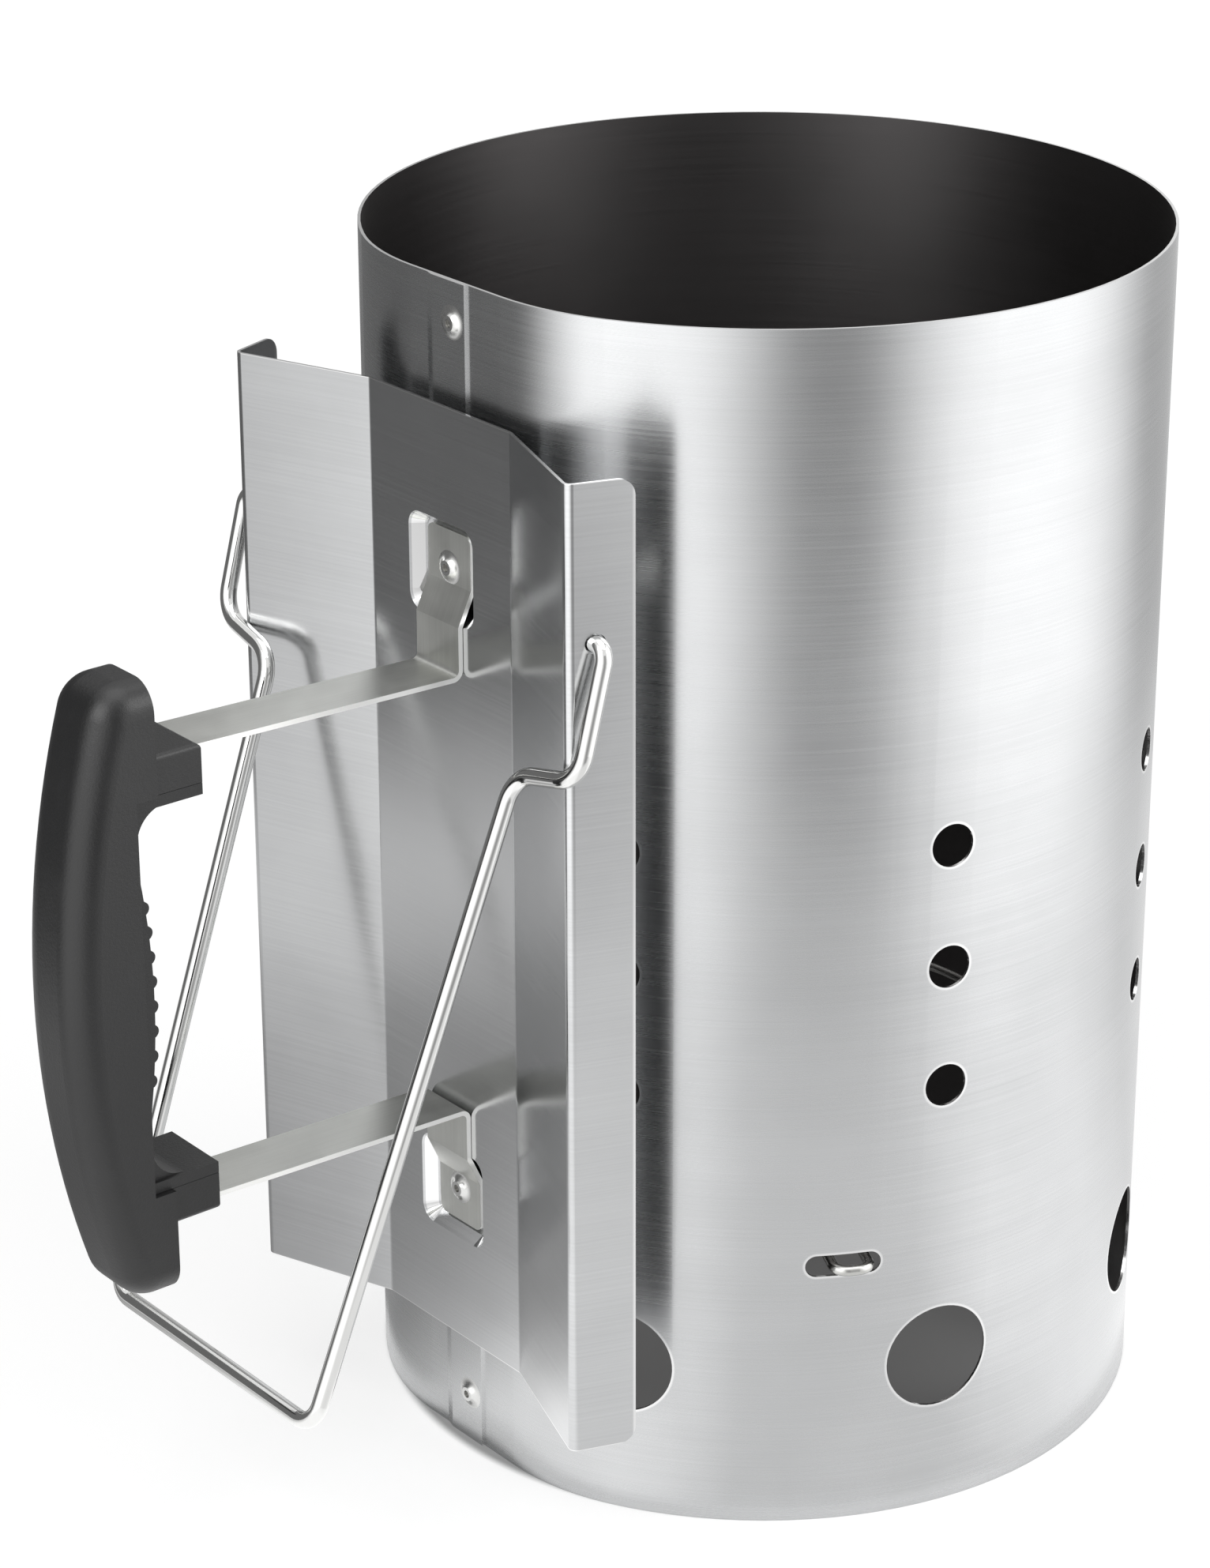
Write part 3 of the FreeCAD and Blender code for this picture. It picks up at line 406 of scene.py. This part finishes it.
def sheet_finish(name, options, mask_builder, tone=1.0, dull=1.0):
    """Satin aluminised sheet with rolling lines and faint clouds; cut edges lighter, partly their own
    finish and partly painted highlight, painted highlight lines, and a dull inside darkened as painted
    shade.
    """
    finish = Finish(name)
    place = finish.place()
    x, y, z = finish.parts(place)
    normal = finish.parts(finish.facing())
    around, inside, edge = mask_builder(finish, (x, y, z), normal)
    fine, soft = rolled_lines(finish, around, z, options.grain)
    cloud = finish.noise(place, scale=28.0, detail=3.0, roughness=0.55)
    darkest = [tone * part * (1.0 - TONE_SPREAD) for part in options.colour]
    brightest = [min(1.0, tone * part * (1.0 + TONE_SPREAD)) for part in options.colour]
    face = finish.mix(fine * 0.35 + soft * 0.25 + cloud * 0.4, darkest, brightest)
    # Cut walls, sheared ends and the painted highlight lines take the lighter edge colour.
    colour = finish.mix(edge, face, options.edge_and_highlight_colour)
    # The inner face, and a share of the shield's back, take the dark inside colour: painted shade.
    colour = finish.mix(inside, colour, options.inside_shade_colour)
    rough = options.roughness + (fine - 0.5) * 0.12 + (cloud - 0.5) * 0.08
    rough = rough * dull - edge * EDGE_POLISH + inside * INSIDE_DULLING
    return finish.set(
        Base_Color=colour,
        Metallic=1.0,
        Roughness=rough,
        Anisotropic=0.6,
        Anisotropic_Rotation=0.25,
        Normal=finish.bump(fine * 0.7 + soft * 0.3, strength=0.025, distance=0.00005),
    )


def cylinder_masks(finish, place, normal):
    """Arc length round the axis, the inner face, and what is bright: walls that face neither in nor out,
    lighter partly as sheared steel and partly as painted highlight, and a painted highlight line round each
    hole."""
    x, y, z = place
    radius = (x * x + y * y) ** 0.5
    out = (x * normal[0] + y * normal[1]) / radius
    turn = finish.math("ARCTAN2", y, x)
    inside = (-out).above(WALL_LIMIT)
    # Walls that face neither in nor out: cut edges, lighter partly as their own finish and partly as
    # painted highlight.
    wall = 1.0 - out.size().above(WALL_LIMIT)
    rim = hole_distance(finish, turn * RADIAN, z).size()
    # A painted highlight line on the outer face round each hole.
    rim_highlight = (1.0 - rim.rising(*RIM_HIGHLIGHT_WIDTH)) * out.above(WALL_LIMIT) * RIM_HIGHLIGHT_BRIGHTNESS
    return turn * GRAIN_RADIUS, inside, wall.larger(rim_highlight)


def hole_distance(finish, turn, z):
    """Distance from the nearest punched outline, worked out on the unrolled sheet.

    The turn, in degrees, is counted from half a pitch before the first vent and folded by the pitch, so
    that every column reads as the same one, and the height is folded by the pitch of the small vents. A
    slot is a line with a round end on each side."""
    degree = RADIUS * math.pi / 180.0  # arc length of a degree

    def counted(first, pitch):
        return finish.math("FLOORED_MODULO", turn - (first - pitch / 2), FULL_TURN)

    def folded(value, pitch):
        return finish.math("FLOORED_MODULO", value, pitch) - pitch / 2

    count = counted(VENT_FIRST, VENT_PITCH)
    past_last = count.above(VENT_COUNT * VENT_PITCH)  # a metre off, where there is no column
    column = folded(count, VENT_PITCH) * degree + past_last
    row = folded(z - (SMALL_VENT_HEIGHT - SMALL_VENT_PITCH / 2), SMALL_VENT_PITCH)
    small = (column * column + row * row) ** 0.5 - SMALL_VENT_RADIUS
    middle = SMALL_VENT_HEIGHT + SMALL_VENT_PITCH
    small = small.larger((z - middle).size() - SMALL_VENT_REACH * SMALL_VENT_PITCH)
    rise = z - BIG_VENT_HEIGHT
    big = (column * column + rise * rise) ** 0.5 - BIG_VENT_RADIUS
    slot_pitch = FULL_TURN / SLOT_COUNT
    along = folded(counted(SLOT_FIRST, slot_pitch), slot_pitch) * degree
    along = (along.size() - (SLOT_LENGTH - SLOT_WIDTH) / 2).larger(0.0)
    climb = z - SLOT_HEIGHT
    slot = (along * along + climb * climb) ** 0.5 - SLOT_WIDTH / 2
    return big.size().smaller(small.size()).smaller(slot.size())


def shield_masks(finish, place, normal):
    """Width across the shield, its back face as a share of painted shade, and what is bright: its sheared
    top and bottom, lighter partly as their own finish and partly as painted highlight, and painted
    highlights on the free edges of its flanges and on the walls of its pressed seats."""
    x, y, z = place
    low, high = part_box("heat_shield")
    middle = (low.z + high.z) / 2
    half = (high.z - low.z) / 2
    # Sheared top and bottom: lighter partly as their own finish and partly as painted highlight.
    end = (z - middle).size().above(half - SHEARED_END)
    flange = 1.0 - (x - (low.x + FLANGE_DEPTH)).rising(*FLANGE_FADE)
    # Painted highlight along the free edges of the flanges.
    free_edge_highlight = flange * y.size().above(high.y - FREE_EDGE_HIGHLIGHT_WIDTH) * FREE_EDGE_HIGHLIGHT
    floor, rim = SEAT_WALL_DEPTHS
    near, far = SEAT_WALL_SIDES
    # Painted highlight on the walls of the pressed seats.
    pressed = (x - low.x - floor).above(0.0) * (low.x + rim - x).above(0.0)
    seat_wall_highlight = pressed * (far - y.size()).above(0.0) * (y.size() - near).above(0.0)
    back = (-(normal[0])).above(0.5)
    return y, back * BACK_SHADE_AND_DULLING, end.larger(free_edge_highlight).larger(seat_wall_highlight * (1.0 - back))


def strap_finish(options):
    """Plated flat bar with fine lines along its length and sheared sides lightened, partly their own finish
    and partly painted highlight.
    """
    finish = Finish("plated_bar")
    place = finish.place()
    x, y, z = finish.parts(place)
    side = finish.parts(finish.facing())[1].size().above(0.7)
    lines = finish.noise(finish.join(x * 25.0, y * 1800.0, z * 25.0), scale=1.0, detail=3.0, roughness=0.6)
    cloud = finish.noise(place, scale=90.0, detail=3.0, roughness=0.6)
    low = [part * 0.82 for part in options.strap_colour]
    high = [min(1.0, part * 1.18) for part in options.strap_colour]
    face = finish.mix(lines * 0.55 + cloud * 0.45, low, high)
    return finish.set(
        Base_Color=finish.mix(side, face, SHEARED_SIDE_AND_HIGHLIGHT),
        Metallic=1.0,
        Roughness=0.36 + (cloud - 0.5) * 0.14 + (lines - 0.5) * 0.08,
        Normal=finish.bump(lines, strength=0.15, distance=0.00006),
    )


def grip_finish(name, options, rough):
    """Black moulded plastic with the fine grain of the mould and faint scuffs."""
    finish = Finish(name)
    place = finish.place()
    grain = finish.noise(place, scale=1.0 / options.moulded_grain, detail=2.0, roughness=0.6)
    speck = finish.noise(place, scale=2.6 / options.moulded_grain, detail=1.0, roughness=0.5)
    scuff = finish.noise(place, scale=60.0, detail=4.0, roughness=0.62)
    shade = scuff.rising(0.45, 0.75)
    high = [part * 1.9 for part in options.grip_colour]
    return finish.set(
        Base_Color=finish.mix(shade * 0.5 + grain * 0.25, options.grip_colour, high),
        Roughness=rough + (scuff - 0.5) * 0.12 - (speck - 0.5) * 0.12,
        Normal=finish.bump(grain * 0.7 + speck * 0.3, strength=0.5, distance=0.00015),
    )


def wire_finish(name, colour, rough):
    """Bright metal with faint draw marks and a little dulling in patches."""
    finish = Finish(name)
    place = finish.place()
    x, y, z = finish.parts(place)
    marks = finish.noise(finish.join(x * 900.0, y * 900.0, z * 30.0), scale=1.0, detail=2.0, roughness=0.5)
    patch = finish.noise(place, scale=45.0, detail=3.0, roughness=0.6)
    low = [part * 0.86 for part in colour]
    return finish.set(
        Base_Color=finish.mix(patch * 0.6 + marks * 0.4, low, colour),
        Metallic=1.0,
        Roughness=rough + (patch - 0.5) * 0.10,
        Normal=finish.bump(marks, strength=0.06, distance=0.00004),
    )


# New geometry

BEAD_SIDES, BEAD_RINGS = 16, 7
BEAD_FLATNESS, BEAD_RIPPLE = 0.75, 0.06
HAIRPIN_HALF_WIDTH = 0.0043  # from a hairpin's middle line to each of its legs, in metres
LEG_SLOPE = 25.0  # of the legs, in degrees


def closed_faces(sides, rings):
    """Triangles over rings of points: two for each cell between rings, and a fan at each pole. The
    points are the first pole, the rings one by one, and the last pole."""
    ring = np.arange(sides)
    following = (ring + 1) % sides
    start = 1 + sides * np.arange(rings - 1)[:, None]
    here, beside = start + ring, start + following
    cells = np.stack([here, beside, beside + sides, here, beside + sides, here + sides], -1)
    last = 1 + sides * (rings - 1)
    pole = np.full(sides, last + sides)
    first_fan = np.stack([np.zeros(sides, int), following + 1, ring + 1], -1)
    last_fan = np.stack([pole, last + ring, last + following], -1)
    return np.concatenate([first_fan, cells.reshape(-1, 3), last_fan])


def weld_points(centres, directions, radius):
    """Weld beads. Each is a sphere point p(u, v) = r (cos v cos u, cos v sin u, k sin v), with k the
    flatness and a ripple 1 + a sin 3u, turned so that its flat side faces along its direction."""
    u = np.linspace(0.0, 2.0 * np.pi, BEAD_SIDES, endpoint=False)[None, :]
    v = np.linspace(-0.5 * np.pi, 0.5 * np.pi, BEAD_RINGS + 2)[1:-1, None]
    ripple = 1.0 + BEAD_RIPPLE * np.sin(3.0 * u)
    across, beside = np.cos(v) * np.cos(u) * ripple, np.cos(v) * np.sin(u) * ripple
    rings = np.stack(np.broadcast_arrays(across, beside, BEAD_FLATNESS * np.sin(v)), -1)
    poles = np.array([[0.0, 0.0, -BEAD_FLATNESS], [0.0, 0.0, BEAD_FLATNESS]])
    bead = radius * np.concatenate([poles[:1], rings.reshape(-1, 3), poles[1:]])
    normal = directions / np.linalg.norm(directions, axis=1, keepdims=True)
    side = np.cross(normal, np.array([0.0, 0.0, 1.0]))
    side /= np.linalg.norm(side, axis=1, keepdims=True)
    axes = np.stack([side, np.cross(normal, side), normal], 1)
    points = centres[:, None, :] + np.einsum("pk,ckj->cpj", bead, axes)
    step = np.arange(len(centres))[:, None, None] * len(bead)
    faces = closed_faces(BEAD_SIDES, BEAD_RINGS) + step
    return points.reshape(-1, 3), faces.reshape(-1, 3)


def mesh_piece(name, points, faces, material, body):
    """A smooth mesh object in the frame's own coordinates, riding on a body."""
    mesh = bpy.data.meshes.new(name)
    mesh.vertices.add(len(points))
    mesh.vertices.foreach_set("co", np.ascontiguousarray(points, np.float32).ravel())
    mesh.loops.add(faces.size)
    mesh.loops.foreach_set("vertex_index", np.ascontiguousarray(faces, np.int32).ravel())
    mesh.polygons.add(len(faces))
    mesh.polygons.foreach_set("loop_start", np.arange(0, faces.size, faces.shape[1], dtype=np.int32))
    mesh.update(calc_edges=True)
    mesh.validate()
    mesh.polygons.foreach_set("use_smooth", np.ones(len(mesh.polygons), bool))
    mesh.materials.append(material)
    piece = bpy.data.objects.new(name, mesh)
    bpy.context.scene.collection.objects.link(piece)
    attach(piece, body)
    return piece


# Operators


class STARTER_OT_sheet(bpy.types.Operator):
    """Finish the rolled cylinder and the folded heat shield"""

    bl_idname = "starter.sheet"
    bl_label = "Sheet steel"

    def execute(self, context):
        options = settings(context)[0]
        cylinder = sheet_finish("rolled_sheet", options, cylinder_masks)
        shield = sheet_finish("folded_sheet", options, shield_masks, tone=1.06, dull=0.62)
        dress(cylinder, "chimney_shell")
        dress(shield, "heat_shield")
        return {"FINISHED"}


class STARTER_OT_handle(bpy.types.Operator):
    """Finish the strap, both halves of the grip and its screws"""

    bl_idname = "starter.handle"
    bl_label = "Handle"

    def execute(self, context):
        options = settings(context)[1]
        dress(strap_finish(options), "handle_strap")
        dress(grip_finish("grip_shell", options, rough=0.36), "grip_back")
        dress(grip_finish("grip_insert", options, rough=0.44), "grip_front")
        screws = wire_finish("plated_screw", SCREW_COLOUR, rough=0.30)
        dress(screws, "grip_screw_upper", "grip_screw_lower")
        return {"FINISHED"}


class STARTER_OT_rivets(bpy.types.Operator):
    """Finish the blind rivets and the mandrel stubs in them"""

    bl_idname = "starter.rivets"
    bl_label = "Rivets"

    def execute(self, context):
        options = settings(context)[2]
        head = wire_finish("rivet_head", options.rivet_colour, rough=0.24)
        stub = wire_finish("mandrel_stub", MANDREL_COLOUR, rough=0.42)
        for name in NODES:
            if "rivet" in name:
                dress(stub if name.endswith("mandrel") else head, name)
        return {"FINISHED"}


class STARTER_OT_bail(bpy.types.Operator):
    """Finish the bright wire bail"""

    bl_idname = "starter.bail"
    bl_label = "Bail"

    def execute(self, context):
        options = settings(context)[2]
        dress(wire_finish("bright_wire", options.bail_colour, rough=0.09), "bail_wire")
        return {"FINISHED"}


class STARTER_OT_grate(bpy.types.Operator):
    """Finish the wires of the grate and add the weld points where they cross"""

    bl_idname = "starter.grate"
    bl_label = "Grate"

    def execute(self, context):
        options = settings(context)[2]
        material = wire_finish("plated_wire", GRATE_COLOUR, rough=0.24)
        dress(material, *[name for name in NODES if name.startswith("grate_")])
        centres, directions = grate_crossings()
        points, faces = weld_points(centres, directions, options.weld_radius)
        beads = wire_finish("weld_bead", BEAD_COLOUR, rough=0.45)
        mesh_piece("grate_weld_points", points, faces, beads, "grate")
        return {"FINISHED"}


def grate_crossings():
    """Middle of each weld of a ring on a leg, and the direction from the leg to the ring.

    The legs come in pairs, whose turn is read from the middle of each hairpin's box. The weld lies half
    a wire from the ring's own line, square to the slope of the legs."""
    wire = (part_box("grate_ring_outer")[1].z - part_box("grate_ring_outer")[0].z) / 2
    turns = []
    for name in sorted(name for name in NODES if name.startswith("grate_spoke")):
        low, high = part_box(name)
        turns.append(math.atan2((low.y + high.y) / 2, (low.x + high.x) / 2))
    turns = np.array(turns)
    centres = []
    for name in ("grate_ring_inner", "grate_ring_middle", "grate_ring_outer"):
        low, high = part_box(name)
        radius = (high.x - low.x) / 2 - wire
        level = (high.z + low.z) / 2
        for side in (-HAIRPIN_HALF_WIDTH, HAIRPIN_HALF_WIDTH):
            along = math.sqrt(radius**2 - side**2)
            x = along * np.cos(turns) - side * np.sin(turns)
            y = along * np.sin(turns) + side * np.cos(turns)
            centres.append(np.stack([x, y, np.full_like(x, level)], -1))
    centres = np.concatenate(centres)
    out = centres * np.array([1.0, 1.0, 0.0])
    out /= np.linalg.norm(out, axis=1, keepdims=True)
    slope = math.radians(LEG_SLOPE)
    upward = out * math.sin(slope) + np.array([0.0, 0.0, math.cos(slope)])
    return centres - upward * wire, upward


# Studio, in metres, degrees and watts

# Lamps on circles round the object: setting of the power, azimuth, distance, height and size
LAMPS = {
    "key_lamp": ("key_power", 126.0, 1.0, 0.60, (0.80, 1.2)),
    "fill_lamp": ("fill_power", 10.0, 1.0, 0.60, (0.75, 1.2)),
    "top_lamp": ("top_power", 49.0, 0.10, 1.5, (1.2, 1.2)),
}
LAMP_TARGET = (0.03, 0.0, 0.15)

# Floor: its colour for the rays that carry light and where it is seen, and its glow where it is seen.
# Inside the foot of the cylinder the glow is nearly off, a painted shade under the object, and it grows a
# little far away.
FLOOR_HALF_WIDTH = 12.0
FLOOR_LIT, FLOOR_SEEN = (0.8, 0.8, 0.8), (0.42, 0.42, 0.42)
FLOOR_SHADE_EDGE, FLOOR_GLOW = (0.0930, 0.0962), (0.01, 0.66)
FLOOR_FAR, FLOOR_GAIN = (0.35, 1.20), (1.0, 1.32)

WORLD_LIGHT, WORLD_SEEN = 0.35, 1.0

# Tent: rings from its inner rim to the top of its wall, as radius and height. Its floor is white close
# to the object, apart from a shade in the lee of the key.
TENT_SIDES = 144
TENT_RADII = (0.10, 0.35, 0.60, 1.10, 1.10)
TENT_LEVELS = (0.001, 0.001, 0.001, 0.001, 1.0)
WHITE_FLOOR_END = (0.36, 0.62)
NEAR_GLOW, NEAR_SHARE = 0.97, 0.45
LEE_AZIMUTH, LEE_HALF_WIDTHS, LEE_REACH, LEE_SHADE = -58.0, (20.0, 60.0), (0.28, 0.44), 0.62

# Soft boxes in the tent wall: azimuth, half width, soft edge, and glow over the wall's
WALL_GLOW = 0.17
SOFT_BOXES = (
    (13.0, 13.0, 36.0, 1.50),  # fill, on the handle's side
    (70.0, 16.0, 24.0, 0.24),  # front, round the camera
    (125.0, 12.0, 44.0, 1.60),  # key, on the vents' side
    (-160.0, 30.0, 30.0, 0.42),  # back
    (-142.0, 4.0, 14.0, 0.25),  # rim
)

CAMERA_PLACE = (0.63921, 0.73567, 0.56050)
CAMERA_FORWARD = (-0.57693, -0.71896, -0.38763)
CAMERA_ROLL = -0.0031  # in radians
SENSOR_WIDTH = 36.0  # in millimetres


class STARTER_OT_stage(bpy.types.Operator):
    """Set the floor, the lamps, the light tent, the world and the camera"""

    bl_idname = "starter.stage"
    bl_label = "Stage"

    def execute(self, context):
        options = context.scene.starter_studio
        make_floor()
        for name, (power, *spot) in LAMPS.items():
            make_lamp(name, getattr(options, power), *spot)
        make_tent()
        make_world(context.scene)
        make_camera(context.scene, options.lens)
        context.scene.view_settings.view_transform = "Standard"
        return {"FINISHED"}


def stage_mesh(name, points, faces, material):
    """A mesh object for the studio."""
    mesh = bpy.data.meshes.new(name)
    mesh.from_pydata(points, [], faces)
    mesh.materials.append(material)
    piece = bpy.data.objects.new(name, mesh)
    bpy.context.scene.collection.objects.link(piece)
    return piece


def make_lamp(name, power, azimuth, distance, height, size):
    """A soft rectangular lamp on a circle round the object, aimed at its middle."""
    lamp = bpy.data.lights.new(name, "AREA")
    lamp.shape = "RECTANGLE"
    lamp.size, lamp.size_y = size
    lamp.energy = power
    piece = bpy.data.objects.new(name, lamp)
    bpy.context.scene.collection.objects.link(piece)
    turn = math.radians(azimuth)
    piece.location = (distance * math.cos(turn), distance * math.sin(turn), height)
    direction = Vector(LAMP_TARGET) - Vector(piece.location)
    piece.rotation_euler = direction.to_track_quat("-Z", "Y").to_euler()


def seen_rays(tree):
    """1 for rays from the eye, a mirror or glass, and 0 for the rays that carry light."""
    path = tree.nodes.new("ShaderNodeLightPath")
    total = path.outputs["Is Camera Ray"]
    for name in ("Is Glossy Ray", "Is Transmission Ray"):
        either = tree.nodes.new("ShaderNodeMath")
        either.operation = "MAXIMUM"
        tree.links.new(total, either.inputs[0])
        tree.links.new(path.outputs[name], either.inputs[1])
        total = either.outputs[0]
    return total


def make_floor():
    """A wide pale floor: seen or mirrored it is white and keeps the object's soft shadow, with a painted
    shade inside the cylinder's foot, where its glow is nearly off.
    """
    finish = Finish("pale_floor")
    away = finish.node("ShaderNodeVectorMath", {"operation": "LENGTH"}, {0: finish.place()}, "Value")
    glow_past_shade = away.rising(*FLOOR_SHADE_EDGE, *FLOOR_GLOW)
    far = away.rising(*FLOOR_FAR, *FLOOR_GAIN, step="LINEAR")
    lit = finish.node("ShaderNodeBsdfDiffuse", None, {"Color": colour4(FLOOR_LIT)})
    thin = finish.node("ShaderNodeBsdfDiffuse", None, {"Color": colour4(FLOOR_SEEN)})
    glow = finish.node("ShaderNodeEmission", None, {"Strength": glow_past_shade * far})
    seen = finish.node("ShaderNodeAddShader", None, {0: thin, 1: glow})
    share = Reading(finish, seen_rays(finish.tree))
    material = finish.surface(finish.node("ShaderNodeMixShader", None, {0: share, 1: lit, 2: seen}))
    half = FLOOR_HALF_WIDTH
    corners = [(-half, -half, 0.0), (half, -half, 0.0), (half, half, 0.0), (-half, half, 0.0)]
    floor = stage_mesh("floor", corners, [(0, 1, 2, 3)], material)


def make_tent():
    """A light tent that only reflections see: p(u, v) = (r cos u, r sin u, h). Its floor runs out with
    r rising, and its wall stands up with h rising."""
    u = np.radians(np.linspace(-180.0, 180.0, TENT_SIDES + 1))[None, :]
    radius = np.array(TENT_RADII)[:, None]
    level = np.array(TENT_LEVELS)[:, None]
    points = np.stack(np.broadcast_arrays(radius * np.cos(u), radius * np.sin(u), level), -1).reshape(-1, 3)
    count = TENT_SIDES + 1
    start = np.arange(len(TENT_RADII) - 1)[:, None] * count + np.arange(TENT_SIDES)[None, :]
    faces = start.reshape(-1, 1) + np.array([[0, count, count + 1, 1]])
    tent = stage_mesh("light_tent", points.tolist(), faces.tolist(), tent_finish())
    tent.visible_camera = False
    tent.visible_diffuse = False
    tent.visible_transmission = False
    tent.visible_shadow = False


def tent_finish():
    """The glow of the tent: dim between the soft boxes, and white on the floor close to the object, but
    for the shade on the side away from the key."""
    finish = Finish("tent_glow")
    x, y, _ = finish.parts(finish.place())
    turn = finish.math("ARCTAN2", y, x) * RADIAN
    wall = WALL_GLOW
    half_turn = FULL_TURN / 2
    for azimuth, half_width, edge, glow in SOFT_BOXES:
        aside = (finish.math("FLOORED_MODULO", turn - (azimuth - half_turn), FULL_TURN) - half_turn).size()
        wall = wall + (1.0 - aside.rising(half_width, half_width + edge)) * glow
    radius = (x * x + y * y) ** 0.5
    away = radius.rising(*WHITE_FLOOR_END)
    lee = (1.0 - (turn - LEE_AZIMUTH).size().rising(*LEE_HALF_WIDTHS)) * (1.0 - radius.rising(*LEE_REACH))
    near = (wall.larger(NEAR_GLOW) * NEAR_SHARE + (1.0 - NEAR_SHARE)) * (1.0 - lee * LEE_SHADE)
    strength = wall * away + near * (1.0 - away)
    material = finish.surface(finish.node("ShaderNodeEmission", None, {"Strength": strength}))
    material.cycles.emission_sampling = "NONE"
    return material


def make_world(scene):
    """An even pale surround: white where it is seen or mirrored, and softer as a lamp."""
    world = bpy.data.worlds.new("studio")
    world.use_nodes = True
    scene.world = world
    tree = world.node_tree
    background = tree.nodes["Background"]
    strength = tree.nodes.new("ShaderNodeMapRange")
    strength.inputs["To Min"].default_value = WORLD_LIGHT
    strength.inputs["To Max"].default_value = WORLD_SEEN
    tree.links.new(seen_rays(tree), strength.inputs["Value"])
    tree.links.new(strength.outputs["Result"], background.inputs["Strength"])
    background.inputs["Color"].default_value = (1.0, 1.0, 1.0, 1.0)


def make_camera(scene, lens):
    """The camera stands on the vented side of the handle and looks down at the object."""
    data = bpy.data.cameras.new("camera")
    data.lens = lens
    data.sensor_fit = "HORIZONTAL"
    data.sensor_width = SENSOR_WIDTH
    camera = bpy.data.objects.new("camera", data)
    scene.collection.objects.link(camera)
    forward = Vector(CAMERA_FORWARD).normalized()
    right = forward.cross(Vector((0.0, 0.0, 1.0))).normalized()
    up = right.cross(forward)
    side = right * math.cos(CAMERA_ROLL) + up * math.sin(CAMERA_ROLL)
    top = side.cross(forward)
    turn = Matrix((side, top, -forward)).transposed().to_4x4()
    camera.matrix_world = Matrix.Translation(CAMERA_PLACE) @ turn
    scene.camera = camera


class STARTER_PT_panel(bpy.types.Panel):
    """Shows a button for each step that finishes the starter or sets its studio"""

    bl_idname = "STARTER_PT_panel"
    bl_label = "Charcoal starter"
    bl_space_type = "VIEW_3D"
    bl_region_type = "UI"
    bl_category = "Starter"

    def draw(self, context):
        column = self.layout.column()
        for operator in OPERATORS:
            column.operator(operator.bl_idname)


OPERATORS = (
    STARTER_OT_sheet,
    STARTER_OT_handle,
    STARTER_OT_rivets,
    STARTER_OT_bail,
    STARTER_OT_grate,
    STARTER_OT_stage,
)
GROUPS = {
    "starter_sheet": SheetSettings,
    "starter_handle": HandleSettings,
    "starter_wire": WireSettings,
    "starter_studio": StudioSettings,
}


def register():
    for group in GROUPS.values():
        bpy.utils.register_class(group)
    for cls in OPERATORS + (STARTER_PT_panel,):
        bpy.utils.register_class(cls)
    for name, group in GROUPS.items():
        setattr(bpy.types.Scene, name, bpy.props.PointerProperty(type=group))


def unregister():
    for name in GROUPS:
        delattr(bpy.types.Scene, name)
    for cls in reversed(OPERATORS + (STARTER_PT_panel,)):
        bpy.utils.unregister_class(cls)
    for group in reversed(tuple(GROUPS.values())):
        bpy.utils.unregister_class(group)


def main():
    register()
    bpy.ops.starter.sheet()
    bpy.ops.starter.handle()
    bpy.ops.starter.rivets()
    bpy.ops.starter.bail()
    bpy.ops.starter.grate()
    bpy.ops.starter.stage()


if __name__ == "__main__":
    main()
